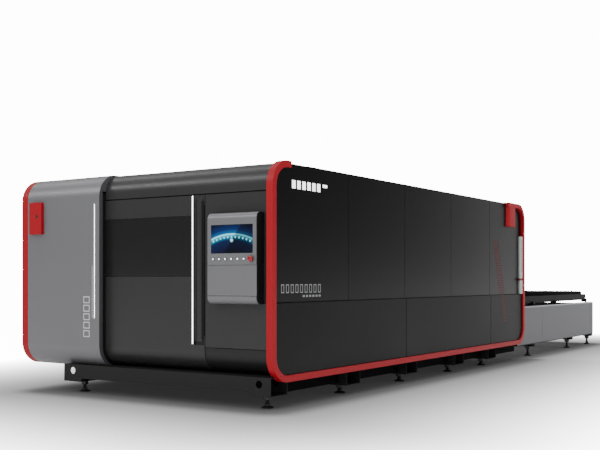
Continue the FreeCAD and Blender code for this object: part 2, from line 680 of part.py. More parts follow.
# ---------------------------------------------------------------- operator's console
CONSOLE_DEPTH = f"({MIDDLE_Y} - {CONSOLE_Y} - console_cover)"
COVER_BACK = f"({CONSOLE_Y} + console_cover)"
CONSOLE_HIGH = "(console_high - console_low)"
console_case = rounded(
    CONSOLE_LEFT, COVER_BACK, "console_low", "console_width", CONSOLE_DEPTH, CONSOLE_HIGH, "console_round", "Y")
case_hollow = rounded(
    f"{CONSOLE_LEFT} + console_wall", f"{COVER_BACK} - console_wall", "console_low + console_wall",
    "console_width - 2 * console_wall", CONSOLE_DEPTH, f"{CONSOLE_HIGH} - 2 * console_wall",
    "console_round - console_wall", "Y")
SHELF_Z = "(flap_low + console_cover)"
shelf = block(
    f"{CONSOLE_LEFT} + console_wall / 2", f"{COVER_BACK} + console_cover", f"{SHELF_Z} - console_cover",
    "console_width - console_wall", f"{CONSOLE_DEPTH} - console_cover - console_wall / 2", "console_cover")
node("console_case", fuse(cut(console_case, case_hollow), shelf))
node("keyboard", block(
    f"{CONSOLE_LEFT} + console_width / 2 - keyboard_width / 2",
    f"{MIDDLE_Y} - console_wall - keyboard_thick", SHELF_Z, "keyboard_width", "keyboard_thick",
    "keyboard_height"))
cover = rounded(
    CONSOLE_LEFT, CONSOLE_Y, "console_low", "console_width", "console_cover", CONSOLE_HIGH,
    "console_round", "Y")
screen_seat = block(
    f"{CONSOLE_LEFT} + console_width / 2 - screen_width / 2", f"{CONSOLE_Y} - console_cover", "screen_low",
    "screen_width", "console_cover + screen_thick", "screen_height")
flap_space = block(
    f"{CONSOLE_LEFT} + console_edge", f"{CONSOLE_Y} - console_cover", "flap_low",
    "console_width - 2 * console_edge", "3 * console_cover", "flap_high - flap_low")
PIN_Y = f"({CONSOLE_Y} + console_cover / 2)"
PIN_Z = "(flap_low + seam_gap / 2 + console_cover / 2)"
pin_bore = rod(
    f"{CONSOLE_LEFT} + console_edge / 2", PIN_Y, PIN_Z, "hinge_pin_radius + slide_gap",
    "console_width - console_edge", "X")
BUTTON_XS = [f"({CONSOLE_LEFT} + button_first + {i} * button_pitch)" for i in range(6)]
STOP_X = f"({CONSOLE_LEFT} + console_width - stop_side)"
bores = [
    rod(x, f"{CONSOLE_Y} - console_cover", "button_height", "button_stem + slide_gap", "3 * console_cover", "Y")
    for x in BUTTON_XS
]
bores.append(rod(
    STOP_X, f"{CONSOLE_Y} - console_cover", "button_height", "stop_stem + slide_gap", "3 * console_cover", "Y"))
node("console_cover", cut(cover, screen_seat, flap_space, pin_bore, *bores))
node("screen", block(
    f"{CONSOLE_LEFT} + console_width / 2 - screen_width / 2 + fit_gap",
    f"{CONSOLE_Y}", "screen_low + fit_gap", "screen_width - 2 * fit_gap", "screen_thick",
    "screen_height - 2 * fit_gap"))
for i, x in enumerate(BUTTON_XS, start=1):
    cap = rod(
        x, f"{CONSOLE_Y} - button_thick - press_travel - fit_gap", "button_height", "button_radius",
        "button_thick", "Y")
    stem = rod(
        x, f"{CONSOLE_Y} - button_thick - press_travel - fit_gap", "button_height", "button_stem",
        "button_thick + press_travel + 2 * console_cover", "Y")
    node(f"button_{i}", fuse(cap, stem))
stop_head = rod(STOP_X, f"{CONSOLE_Y} - stop_height", "button_height", "stop_radius", "stop_cap", "Y")
stop_shaft = rod(
    STOP_X, f"{CONSOLE_Y} - stop_height", "button_height", "stop_stem", "stop_height + 2 * console_cover", "Y")
node("stop_button", fuse(stop_head, stop_shaft))
FLAP_LEFT = f"({CONSOLE_LEFT} + console_edge + 2 * slide_gap)"
FLAP_WIDE = "(console_width - 2 * console_edge - 4 * slide_gap)"
flap_sheet = rounded(
    FLAP_LEFT, CONSOLE_Y, "flap_low + seam_gap / 2", FLAP_WIDE, "console_cover",
    "flap_high - flap_low - seam_gap", "console_cover / 2 - fit_gap / 10", "X", ((0, 0), (1, 0)))
flap_pin = rod(
    f"{FLAP_LEFT} - console_edge / 3", PIN_Y, PIN_Z, "hinge_pin_radius",
    f"{FLAP_WIDE} + console_edge * 2 / 3", "X")
node("keyboard_flap", fuse(flap_sheet, flap_pin))

# ---------------------------------------------------------------- lamp at the rear of the right side
node("side_lamp", rounded(
    f"{RIGHT} - panel_recess", f"{REAR} - trim_band - lamp_width", "lamp_low", "lamp_proud",
    "lamp_width", "lamp_high - lamp_low", "lamp_round", "X", ((0, 1), (0, 0))))

# ---------------------------------------------------------------- bed, guides and gantry
BED_Y = f"({FRONT} + bed_start)"
BED_HIGH = f"(bed_top - {POST_LOW})"
RIGHT_WALL_X = f"({BED_RIGHT} - bed_width)"
bed_parts = []
for x in (BED_LEFT, RIGHT_WALL_X):
    wall = block(x, BED_Y, POST_LOW, "bed_width", "bed_length", BED_HIGH)
    hollow = block(
        f"{x} + bed_wall", f"{BED_Y} - bed_wall", f"{POST_LOW} + bed_wall", "bed_width - 2 * bed_wall",
        "bed_length + 2 * bed_wall", f"{BED_HIGH} - 2 * bed_wall")
    bed_parts.append(cut(wall, hollow))
for i in range(4):
    bed_parts.append(block(
        f"{BED_LEFT} + bed_width", f"{BED_Y} + {i} * (bed_length - beam_width) / 3", POST_LOW,
        f"{RIGHT_WALL_X} - {BED_LEFT} - bed_width", "beam_width", "beam_width"))
node("bed", fuse(*bed_parts))
GUIDE_XS = [f"({x} + bed_width / 2 - guide_width / 2)" for x in (BED_LEFT, RIGHT_WALL_X)]
node("bed_guides", fuse(*[
    block(x, BED_Y, "bed_top", "guide_width", "bed_length", "guide_height") for x in GUIDE_XS]))
GANTRY_Y = f"({FRONT} + gantry_place)"
GANTRY_WIDE = f"({BED_RIGHT} - {BED_LEFT})"
GANTRY_HIGH = "(gantry_high - gantry_low)"
beam = block(BED_LEFT, GANTRY_Y, "gantry_low", GANTRY_WIDE, "gantry_depth", GANTRY_HIGH)
beam_hollow = block(
    f"{BED_LEFT} - bed_wall", f"{GANTRY_Y} + bed_wall", "gantry_low + bed_wall",
    f"{GANTRY_WIDE} + 2 * bed_wall", "gantry_depth - 2 * bed_wall", f"{GANTRY_HIGH} - 2 * bed_wall")
SHOE_LOW = "(bed_top + guide_height + slide_gap)"
shoes = [
    block(x, GANTRY_Y, SHOE_LOW, "bed_width", "gantry_depth", f"gantry_low - {SHOE_LOW}")
    for x in (BED_LEFT, RIGHT_WALL_X)
]
guides = [
    block(BED_LEFT, f"{GANTRY_Y} - cross_guide", z, GANTRY_WIDE, "cross_guide", "cross_guide")
    for z in ("gantry_low + 2 * cross_guide", "gantry_high - 3 * cross_guide")
]
node("gantry", fuse(cut(beam, beam_hollow), *shoes, *guides))
CARRIAGE_X = f"({BED_LEFT} + carriage_place)"
CARRIAGE_Y = f"({GANTRY_Y} - cross_guide - slide_gap - carriage_thick)"
carriage_plate = block(
    CARRIAGE_X, CARRIAGE_Y, "gantry_low", "carriage_width", "carriage_thick", "carriage_high")
motor = block(
    f"{CARRIAGE_X} + carriage_width / 4", f"{CARRIAGE_Y}", "gantry_low + carriage_high", "carriage_width / 2",
    "carriage_width / 2", "carriage_width / 2")
node("carriage", fuse(carriage_plate, motor))
SLIDE_X = f"({CARRIAGE_X} + carriage_width / 2 - slide_width / 2)"
SLIDE_Y = f"({CARRIAGE_Y} - slide_gap - slide_thick)"
slide = block(SLIDE_X, SLIDE_Y, "gantry_low - slide_thick", "slide_width", "slide_thick", "carriage_high")
HEAD_X = f"({SLIDE_X} + slide_width / 2)"
HEAD_Y = f"({SLIDE_Y} - head_radius + slide_thick / 2)"
head = rod(HEAD_X, HEAD_Y, "head_low + nozzle_height", "head_radius", "head_height")
nozzle = doc.addObject("Part::Cone", "nozzle")
bind(nozzle, "Radius1", "nozzle_radius")
bind(nozzle, "Radius2", "head_radius")
bind(nozzle, "Height", "nozzle_height")
place(nozzle, HEAD_X, HEAD_Y, "head_low")
node("cutting_head", fuse(slide, head, nozzle))
node("laser_source", block(
    f"{BED_LEFT} - source_gap - source_width", f"{TUBE_YS[0]} + tube_width / 2 + frame_bar / 2 + fit_gap",
    POST_LOW, "source_width", "source_depth", "source_height"))

# ---------------------------------------------------------------- pallets
SLAT_PITCH = "((pallet_length - 4 * pallet_rail) / (slat_count - 1))"


def pallet(name, y, z, axle_z):
    """A pallet frame on wheels, with its slats standing across it."""
    frame = []
    slats = []
    bar_high = "(rail_height / 2)"
    for x in (PALLET_LEFT, f"({PALLET_RIGHT} - pallet_rail)"):
        frame.append(block(x, y, z, "pallet_rail", "pallet_length", "rail_height"))
    for i, axle in enumerate(("axle_first", "axle_second", "axle_third", "(pallet_length - axle_last)")):
        frame.append(block(
            f"{PALLET_LEFT} + pallet_rail", f"{y} + {i} * (pallet_length - pallet_rail) / 3", z,
            "pallet_width - 2 * pallet_rail", "pallet_rail", bar_high))
        wheel_y = f"({y} + {axle})"
        for axle_x, wheel_x, block_x in (
            (f"{PALLET_RIGHT} - pallet_rail", f"{PALLET_RIGHT} + wheel_gap", f"{PALLET_RIGHT} - pallet_rail"),
            (f"{PALLET_LEFT} - wheel_gap - wheel_width", f"{PALLET_LEFT} - wheel_gap - wheel_width",
             PALLET_LEFT),
        ):
            frame.append(rod(
                axle_x, wheel_y, axle_z, "axle_radius", "pallet_rail + wheel_gap + wheel_width", "X"))
            frame.append(rod(wheel_x, wheel_y, axle_z, "wheel_radius", "wheel_width", "X"))
            frame.append(block(
                block_x, f"{wheel_y} - pallet_rail", f"{z} - wheel_radius", "pallet_rail", "2 * pallet_rail",
                "wheel_radius"))
    for i in range(SIZES["slat_count"]):
        slat_y = f"({y} + 2 * pallet_rail + {i} * {SLAT_PITCH} - slat_thick / 2)"
        upper = block(
            f"{PALLET_LEFT} + slat_thick", slat_y, f"{z} + rail_height", "pallet_width - 2 * slat_thick",
            "slat_thick", "slat_above")
        lower = block(
            f"{PALLET_LEFT} + pallet_rail", slat_y, f"{z} + {bar_high}", "pallet_width - 2 * pallet_rail",
            "slat_thick", f"rail_height - {bar_high}")
        slats.append(fuse(upper, lower))
    node(f"{name}_pallet", fuse(*frame))
    row = doc.addObject("Part::Compound", "row")
    row.Links = slats
    node(f"{name}_slats", row)


pallet("upper", f"({FRONT} + pallet_start)", "pallet_low", "axle_height")
pallet("lower", f"({FRONT} + pallet_start - pallet_travel)", "(pallet_low - pallet_drop)",
       "(axle_height - pallet_drop)")

# ---------------------------------------------------------------- pallet changer behind the enclosure
POST_XS = (f"({TABLE_LEFT} + table_panel)", f"({TABLE_RIGHT} - table_panel - table_post)")
TABLE_POST_YS = [f"({REAR} + {y})" for y in ("table_start", "leg_first", "leg_second")] + [
    f"({REAR} + table_length - leg_last)"]
FRAME_LOW = "(table_low - frame_drop)"
TABLE_HIGH = f"(table_top - table_panel - {FRAME_LOW})"
TABLE_Y = f"({REAR} + table_start)"
TABLE_END = f"({REAR} + table_length)"
table_bars = []
for x in POST_XS:
    for y in TABLE_POST_YS:
        table_bars.append(block(x, y, FRAME_LOW, "table_post", "table_post", TABLE_HIGH))
    for z in (FRAME_LOW, f"{FRAME_LOW} + {TABLE_HIGH} - table_post"):
        table_bars.append(block(
            x, TABLE_Y, z, "table_post", f"{TABLE_END} - {TABLE_Y} - table_panel", "table_post"))
for y in TABLE_POST_YS + [f"({TABLE_END} - table_panel - table_post)"]:
    table_bars.append(block(
        POST_XS[0], y, FRAME_LOW, "table_width - 2 * table_panel", "table_post", "table_post"))
FOOT_XS = (f"({TABLE_LEFT} + table_foot_side)", f"({TABLE_RIGHT} - table_foot_side)")
FOOT_YS = [f"({y} + table_post / 2)" for y in TABLE_POST_YS[1:]]
BRACKET_LOW = f"({FRAME_LOW} - bracket_height)"
for x in FOOT_XS:
    for y in FOOT_YS:
        table_bars.append(block(
            f"{x} - bracket_width / 2", f"{y} - bracket_length / 2", BRACKET_LOW, "bracket_width",
            "bracket_length", "bracket_height"))
node("table_frame", fuse(*table_bars))
SEAM_Y = f"({REAR} + table_seam)"
STRIP_Y = f"({TABLE_END} - table_strip)"


def table_sheet(x, start, end):
    return block(
        x, start, "table_low", "table_panel", f"{end} - {start} - seam_gap", "table_top - table_low")


PANEL_SIDE = f"({TABLE_RIGHT} - table_panel)"
node("table_side_1", table_sheet(PANEL_SIDE, TABLE_Y, SEAM_Y))
node("table_side_2", table_sheet(PANEL_SIDE, SEAM_Y, STRIP_Y))
node("table_side_left", table_sheet(TABLE_LEFT, TABLE_Y, STRIP_Y))
node("table_end", fuse(
    block(TABLE_LEFT, f"{TABLE_END} - table_panel", "table_low", "table_width", "table_panel",
          "table_top - table_low"),
    block(PANEL_SIDE, STRIP_Y, "table_low", "table_panel", "table_strip", "table_top - table_low"),
    block(TABLE_LEFT, STRIP_Y, "table_low", "table_panel", "table_strip", "table_top - table_low")))
TRACK_TOP = "(axle_height - wheel_radius - slide_gap)"
tracks = []
for z in (f"{TRACK_TOP} - track_height", f"{TRACK_TOP} - pallet_drop - track_height"):
    for x in (f"({BED_LEFT} + bed_width)", f"({RIGHT_WALL_X} - track_ledge)"):
        tracks.append(block(
            x, BED_Y, z, "track_ledge", f"{TABLE_END} - table_panel - {BED_Y}", "track_height"))
SILL_LOW = "(table_top - table_panel)"
for x in POST_XS:
    tracks.append(block(
        x, TABLE_Y, SILL_LOW, "table_post", f"{TABLE_END} - table_panel - {TABLE_Y}",
        f"{TRACK_TOP} - {SILL_LOW}"))
node("pallet_tracks", fuse(*tracks))
DRIVE_Y = f"({REAR} + leg_second)"
drive_box = block(
    f"{TABLE_LEFT} + table_width / 2", DRIVE_Y, f"{FRAME_LOW} + table_post", "drive_size", "drive_size",
    "drive_size")
drive_motor = rod(
    f"{TABLE_LEFT} + table_width / 2 + drive_size", f"{DRIVE_Y} + drive_size / 2",
    f"{FRAME_LOW} + table_post + drive_size / 2", "drive_size / 3", "drive_size * 1.5", "X")
node("changer_drive", fuse(drive_box, drive_motor))
for x in FOOT_XS:
    for y in FOOT_YS:
        feet.append(foot(x, y, BRACKET_LOW))
node("levelling_feet", fuse(*feet))

# ---------------------------------------------------------------- checks and export
doc.recompute()
for thing in doc.Objects:
    if {"Invalid", "Error"} & set(thing.State):
        raise RuntimeError(f"{thing.Label} did not compute: {thing.State}")
os.makedirs("parts", exist_ok=True)
for name, thing in nodes.items():
    if thing.Shape.isNull() or not thing.Shape.isValid():
        raise RuntimeError(f"{name} has no valid shape")
    thing.Shape.exportStep(f"parts/{name}.step")
    box = thing.Shape.BoundBox
    corners = (box.XMin, box.YMin, box.ZMin, box.XMax, box.YMax, box.ZMax)
    print(name, len(thing.Shape.Solids), [round(v) for v in corners])
print(len(nodes), "sub-parts")
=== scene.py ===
import json
import math

import bmesh
import bpy
from mathutils import Matrix, Vector

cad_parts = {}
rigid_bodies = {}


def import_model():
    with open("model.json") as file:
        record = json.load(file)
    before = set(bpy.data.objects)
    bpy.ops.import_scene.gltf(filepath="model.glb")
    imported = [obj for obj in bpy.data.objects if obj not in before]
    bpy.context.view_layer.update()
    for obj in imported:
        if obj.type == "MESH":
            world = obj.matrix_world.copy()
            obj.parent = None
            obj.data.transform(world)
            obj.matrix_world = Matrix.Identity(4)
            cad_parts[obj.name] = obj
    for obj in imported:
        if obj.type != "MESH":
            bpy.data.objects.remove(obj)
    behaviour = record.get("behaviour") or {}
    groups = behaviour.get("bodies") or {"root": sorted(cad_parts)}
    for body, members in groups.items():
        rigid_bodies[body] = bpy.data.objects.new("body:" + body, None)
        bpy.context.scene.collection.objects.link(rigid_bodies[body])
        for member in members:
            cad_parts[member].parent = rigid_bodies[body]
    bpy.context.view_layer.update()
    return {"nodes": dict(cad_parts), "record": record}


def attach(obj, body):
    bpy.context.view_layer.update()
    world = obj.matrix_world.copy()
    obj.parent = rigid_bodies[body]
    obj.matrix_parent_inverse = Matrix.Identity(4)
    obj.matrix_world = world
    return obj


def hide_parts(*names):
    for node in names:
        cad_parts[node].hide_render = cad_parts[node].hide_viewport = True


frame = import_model()
nodes = frame["nodes"]

# Lengths are metres in the machine's own frame, unless a name or a comment says mm.
MM = 0.001
MACHINE = "machine"
SHADER = "Principled BSDF"


# ---------------------------------------------------------------- materials
def lin(code):
    """An sRGB hex colour as linear RGBA."""
    parts = [int(code[i:i + 2], 16) / 255 for i in (1, 3, 5)]
    return [c / 12.92 if c <= 0.04045 else ((c + 0.055) / 1.055) ** 2.4 for c in parts] + [1.0]


WHITE = lin("#FFFFFF")


def add(tree, kind, inputs=None, **props):
    """Adds one shader node, sets its properties, and fills or links its inputs."""
    made = tree.nodes.new(kind)
    for name, value in props.items():
        setattr(made, name, value)
    for name, value in (inputs or {}).items():
        if isinstance(value, bpy.types.NodeSocket):
            tree.links.new(value, made.inputs[name])
        else:
            made.inputs[name].default_value = value
    return made


def here(tree):
    """The point that is being shaded, in object coordinates."""
    return add(tree, "ShaderNodeTexCoord").outputs["Object"]


def maths(tree, operation, *values):
    """One arithmetic node; returns its result."""
    return add(tree, "ShaderNodeMath", dict(enumerate(values)), operation=operation).outputs[0]


def material(name, colour, rough, metal=0.0, **sockets):
    """A principled material; constant values sit on its own sockets."""
    made = bpy.data.materials.new(name)
    made.use_nodes = True
    shader = made.node_tree.nodes[SHADER]
    shader.inputs["Base Color"].default_value = lin(colour)
    shader.inputs["Roughness"].default_value = rough
    shader.inputs["Metallic"].default_value = metal
    for key, value in sockets.items():
        shader.inputs[key.replace("_", " ")].default_value = value
    return made


def bump(made, scale, strength, distance, stretch=(1, 1, 1)):
    """Fine relief of a surface; scale is in grains to the metre."""
    tree = made.node_tree
    spread = add(tree, "ShaderNodeMapping", {"Vector": here(tree), "Scale": stretch})
    grain = add(tree, "ShaderNodeTexNoise", {"Vector": spread.outputs[0], "Scale": scale})
    relief = add(tree, "ShaderNodeBump", {
        "Height": grain.outputs[0], "Strength": strength, "Distance": distance})
    tree.links.new(relief.outputs[0], tree.nodes[SHADER].inputs["Normal"])


def wear(made, low, high):
    """Roughness drifts a little over the sheet, as it does on sprayed paint."""
    tree = made.node_tree
    cloud = add(tree, "ShaderNodeTexNoise", {"Vector": here(tree), "Scale": 0.8, "Detail": 1.0})
    span = add(tree, "ShaderNodeMapRange", {
        "Value": cloud.outputs[0], "From Min": 0.3, "From Max": 0.7, "To Min": low, "To Max": high,
    }, interpolation_type="SMOOTHSTEP")
    tree.links.new(span.outputs[0], tree.nodes[SHADER].inputs["Roughness"])


# Satin powder coat on the red trim: even colour, a soft sheen and a very fine orange peel.
red = material("red_powder_coat", "#9A1620", 0.42, Specular_IOR_Level=0.12)
bump(red, 900, 0.05, 0.0004)
# Satin grey powder coat of the cabinet skin and console face.
grey = material("grey_powder_coat", "#636366", 0.42, Specular_IOR_Level=0.55)
bump(grey, 900, 0.06, 0.0004)
wear(grey, 0.36, 0.38)
# A darker batch of it on the exchange table's skirts; round the keys the darker grey also stands
# for the faint shade beside each key, as painted shade.
table_grey = material("table_grey_powder_coat", "#5C5C60", 0.46, Specular_IOR_Level=0.3)
bump(table_grey, 900, 0.06, 0.0004)
# Charcoal powder coat of door, roof front and panels: dark, slightly rough.
charcoal = material("charcoal_powder_coat", "#2B2B2B", 0.35, Specular_IOR_Level=0.3)
bump(charcoal, 900, 0.06, 0.0004)
wear(charcoal, 0.33, 0.36)
# Edge band that closes the cabinet's flank: the charcoal painted a step lighter, as painted light
# for the light this narrow face misses, with a softer sheen.
edge_band = material("dark_grey_edge_band", "#48484A", 0.4, Specular_IOR_Level=0.35)
# The curved panel under the console: a darker copy of the charcoal coat, painted shade.
shaded_charcoal = material("charcoal_low_coat", "#1E1E1E", 0.4, Specular_IOR_Level=0.25)
# Black lacquer of the upper side panels: nearly black, with a soft gloss.
gloss = material("gloss_black_lacquer", "#040404", 0.3, Specular_IOR_Level=0.22)
# Dark paint of the lower side panels, duller than the lacquer above it.
lower = material("dark_grey_paint", "#080808", 0.42, Specular_IOR_Level=0.15)
wear(lower, 0.42, 0.46)
# Dark enamel on the base tubes and the bed, with a rougher sprayed skin.
base = material("base_enamel", "#1B1B1B", 0.55, Specular_IOR_Level=0.2)
bump(base, 420, 0.12, 0.0006)
# Dull black of rubber strips and of open joints; on the side beams under the machine and on the
# strip beside the door's pull it is painted shade.
under = material("underside_enamel", "#080808", 0.8, Specular_IOR_Level=0.05)
# Black satin coat of the console's deep case and of the table skirts' inner faces; on the door
# bar's edges and the grip's lip it is painted shade.
case_black_and_shade = material("case_black_coat", "#1A1A1B", 0.45)
# Blackened steel of the feet: metallic, with a worn sheen.
foot_steel = material("blackened_steel", "#3A3A3C", 0.4, 0.85)
bump(foot_steel, 300, 0.1, 0.0005)
# Ground steel of guides and tracks: bright, brushed along its length.
steel = material("ground_steel", "#8E8F92", 0.32, 1.0)
bump(steel, 260, 0.08, 0.0002, stretch=(1, 0.02, 1))
# Mild steel sheet of the slats: dark, with the warm tint that heat leaves.
slat = material("cut_mild_steel", "#1C1A19", 0.6, 0.4)
# Dark enamel of the pallet frames.
pallet_paint = material("pallet_enamel", "#131314", 0.6, Specular_IOR_Level=0.15)
# Anodised aluminium of gantry and head.
anodised = material("anodised_aluminium", "#B4B6BA", 0.36, 1.0)
# Tinted laser safety glass: nearly black and shiny.
tint = material("tinted_safety_glass", "#1B1B1B", 0.22, Specular_IOR_Level=0.35)
# White diffuser of the light bars, lit from inside.
diffuser = material("white_light_diffuser", "#F4F4F4", 0.4,
                    Emission_Strength=8.0, Emission_Color=WHITE)
# Frosted diffuser of the side lamp, which is off: pale green-grey, softly shiny.
frosted = material("frosted_diffuser", "#B9C2BE", 0.35)
# Lit white plastic of the keys' centres; the bold print blocks on the side glow with it too, as
# painted light.
white = material("white_cap_plastic", "#E8E8EA", 0.3,
                 Emission_Strength=2.4, Emission_Color=WHITE)
# Red cap of the stop button.
stop_red = material("red_cap_plastic", "#8C0612", 0.3)
# Display glass; draw_screen puts the picture and a painted reflection on it.
display = material("display_glass", "#123446", 0.15, Emission_Strength=0.9)
# Black keyboard plastic.
key_black = material("black_key_plastic", "#161616", 0.6)
# Plated metal of the lock barrel and the latches.
plated = material("plated_barrel", "#9A9A9C", 0.22, 1.0)
# Cast housing of the changer's drive.
cast = material("painted_cast_housing", "#3C3D40", 0.55)
# Charcoal one step darker: painted shade on the door's pull recess and the middle of its grip; the
# door's brush seal and pull slot are dark themselves.
recess = material("charcoal_recess_coat", "#171717", 0.45, Specular_IOR_Level=0.2)
# Screen printed ink: pale grey on the cabinet, dimmer grey on black, dull red on the last bay.
pale_print = material("pale_screen_ink", "#C6C6CA", 0.5, Specular_IOR_Level=0.3)
faint = material("grey_screen_ink", "#8A8A8C", 0.5, Specular_IOR_Level=0.3)
ghost_red = material("dull_red_screen_ink", "#4A0A10", 0.5, Specular_IOR_Level=0.2)
# Dark red enamel of the lamp's clip; on the ring round the lock barrel it is painted shade of the
# keyhole.
red_dark = material("dark_red_enamel", "#5A0A12", 0.45, Specular_IOR_Level=0.3)
# Light grey coat of the laser source.
source_grey = material("source_grey_coat", "#9A9CA0", 0.5)

COATS = {
    "base_paint": base, "foot_steel": foot_steel, "red_paint": red, "gloss_black": gloss,
    "dark_panel": lower, "body_charcoal": charcoal, "grey_paint": grey, "white_print": diffuser,
    "lock_steel": plated, "dark_glass": tint, "light_bar": diffuser, "lamp_diffuser": frosted,
    "console_black": case_black_and_shade, "screen_face": display, "key_plastic": key_black,
    "button_white": white, "stop_red": stop_red, "bed_paint": base, "guide_steel": steel,
    "gantry_aluminium": anodised, "carriage_paint": charcoal, "head_aluminium": anodised,
    "source_paint": source_grey, "pallet_paint": pallet_paint, "slat_steel": slat,
    "table_grey": table_grey, "drive_paint": cast,
}
for entry in frame["record"]["subparts"]:
    mesh = nodes[entry["node"]].data
    mesh.materials.clear()
    mesh.materials.append(COATS[entry["material_slot"]])


# ---------------------------------------------------------------- helpers for meshes and pieces
def body_name(node):
    """The moving or still body that carries a CAD solid."""
    return nodes[node].parent.name.split(":")[1]


def linked(name, data):
    """A new object in the scene."""
    made = bpy.data.objects.new(name, data)
    bpy.context.scene.collection.objects.link(made)
    return made


def mesh_of(name, shape):
    """Ends a bmesh as a mesh."""
    made = bpy.data.meshes.new(name)
    shape.to_mesh(made)
    shape.free()
    return made


def shade(mesh, degrees):
    """Smooth shading that stays sharp at corners over an angle."""
    mesh.polygons.foreach_set("use_smooth", [True] * len(mesh.polygons))
    mesh.set_sharp_from_angle(angle=math.radians(degrees))


def piece(name, mesh, coats, *stands_for, smooth=35):
    """Shows a finished mesh in place of CAD solids, moving with their body."""
    made = linked(name, mesh)
    which = [0] * len(mesh.polygons)
    mesh.polygons.foreach_get("material_index", which)
    mesh.materials.clear()
    for coat in coats:
        mesh.materials.append(coat)
    mesh.polygons.foreach_set("material_index", [min(i, len(coats) - 1) for i in which])
    shade(mesh, smooth)
    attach(made, body_name(stands_for[0]))
    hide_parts(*stands_for)
    return made


def fitting(name, shape, coat, body=MACHINE):
    """A small part that has no CAD solid, riding on a body."""
    made = linked(name, mesh_of(name, shape))
    made.data.materials.append(coat)
    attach(made, body)
    return made


def break_corners(made, width, degrees=30, harden=False):
    """Bevels every corner that is sharper than an angle."""
    corner = made.modifiers.new("corner", "BEVEL")
    corner.width = width
    corner.segments = 2
    corner.limit_method = "ANGLE"
    corner.angle_limit = math.radians(degrees)
    corner.harden_normals = harden


def outward(shape):
    """Turns every face outwards once the shape is closed."""
    bmesh.ops.recalc_face_normals(shape, faces=shape.faces)


def slab(shape, low, high):
    """A plain block between two corners."""
    for vert in bmesh.ops.create_cube(shape, size=1.0)["verts"]:
        for axis in range(3):
            vert.co[axis] = (low[axis] + high[axis]) / 2 + vert.co[axis] * (high[axis] - low[axis])


def turned(shape, profile, place, sides=32, start=0.0, facing=False, hollow=False):
    """A turned part: (radius, height) pairs in mm, spun about an axis through a place.

    The axis points up, or towards the operator when facing. A hollow part is a closed ring."""
    rings = []
    for radius, height in profile:
        ring = []
        for i in range(sides):
            a = start + 2 * math.pi * i / sides
            x, y, z = radius * MM * math.cos(a), radius * MM * math.sin(a), height * MM
            if facing:
                y, z = -z, y
            ring.append(shape.verts.new((place[0] + x, place[1] + y, place[2] + z)))
        rings.append(ring)
    faces = []
    for low, high in zip(rings, rings[1:] + rings[:1] if hollow else rings[1:]):
        for i in range(sides):
            j = (i + 1) % sides
            faces.append(shape.faces.new((low[i], low[j], high[j], high[i])))
    if not hollow:
        faces.append(shape.faces.new(rings[0][::-1]))
        faces.append(shape.faces.new(rings[-1]))
    return faces


def steps(first, pitch, count):
    """Places in a row."""
    return [first + pitch * i for i in range(count)]


# ---------------------------------------------------------------- skins over the CAD solids
def clean_copy(node):
    """A CAD solid's shape as one joined mesh with whole flat faces."""
    shape = bmesh.new()
    shape.from_mesh(nodes[node].data)
    bmesh.ops.remove_doubles(shape, verts=shape.verts, dist=0.00001)
    bmesh.ops.dissolve_limit(
        shape, angle_limit=math.radians(0.5), verts=shape.verts, edges=shape.edges)
    return shape


def soften(node, edge, coats=None, dark=(), cuts=()):
    """A CAD solid with its corners broken by edge mm, as folded and sprayed sheet has them.

    Faces that look a dark way are black. Cuts are places along X where one coat ends and the
    next begins."""
    coats = list(coats or [nodes[node].data.materials[0]])
    shape = clean_copy(node)
    for x in cuts:
        parts = shape.verts[:] + shape.edges[:] + shape.faces[:]
        bmesh.ops.bisect_plane(shape, geom=parts, plane_co=(x, 0, 0), plane_no=(1, 0, 0))
    shape.normal_update()
    for face in shape.faces:
        face.material_index = sum(face.calc_center_median().x > x for x in cuts)
        if any(face.normal.dot(Vector(way)) > 0.9 for way in dark):
            face.material_index = len(coats)
    if dark:
        coats.append(case_black_and_shade)
    made = piece(node + "_skin", mesh_of(node + "_skin", shape), coats, node)
    break_corners(made, edge * MM, 40, harden=True)


# How far each solid's corners are broken, in mm.
CORNERS = {
    "trim_right": 4, "trim_left": 4, "cabinet_skin": 2.5, "roof_front": 3, "door_panel": 2.5,
    "fixed_panel": 1.2, "lower_panel": 2.5, "lock_plate": 2.5, "front_beam": 3, "cross_tubes": 5,
    "side_beams": 4, "side_upper_1": 1.2, "side_upper_2": 1.2, "side_upper_3": 1.2,
    "side_upper_4": 1.2, "side_upper_5": 1.2, "side_lower_1": 4, "side_lower_2": 4,
    "side_lower_3": 4, "table_side_1": 1.2, "table_side_2": 1.2, "table_side_left": 1.2,
    "table_end": 2, "upper_pallet": 3, "lower_pallet": 3, "side_lamp": 4, "door_light": 0.6,
    "door_grip": 2, "gantry": 4, "carriage": 4, "laser_source": 6, "changer_drive": 3,
    "left_panel": 1.2, "keyboard": 2, "cabinet_side": 1.2, "white_line": 0.4,
}
# Other coats: the side beams' dull black and the lower panel's darker charcoal are painted shade,
# and the cabinet flank's lighter band is painted light.
OTHER_COATS = {
    "side_beams": [under], "cabinet_side": [edge_band], "lower_panel": [shaded_charcoal],
    "door_light": [case_black_and_shade, diffuser, case_black_and_shade], "white_line": [grey, diffuser, grey],
    "door_grip": [case_black_and_shade, recess, charcoal],
}
# A lit strip runs between dark or grey edges on each bar; the door bar's dark edges are painted
# shadow beside it. The door's grip has a black lip and then a darker band, painted shade where its
# near edge falls away.
CUTS = {"door_light": (0.6495, 0.6590), "white_line": (-0.5557, -0.5500),
        "door_grip": (0.692, 0.713)}
LEFT, RIGHT, NEAR = (-1, 0, 0), (1, 0, 0), (0, -1, 0)
# The exchange table's skirts are black on their inner faces.
DARK = {"table_side_1": (LEFT,), "table_side_2": (LEFT,), "table_side_left": (RIGHT,),
        "table_end": (NEAR,)}
for node, edge in CORNERS.items():
    soften(node, edge, OTHER_COATS.get(node), DARK.get(node, ()), CUTS.get(node, ()))


# ---------------------------------------------------------------- levelling feet
TABLE_FEET_Y = (1.9985, 3.9245, 5.0905)
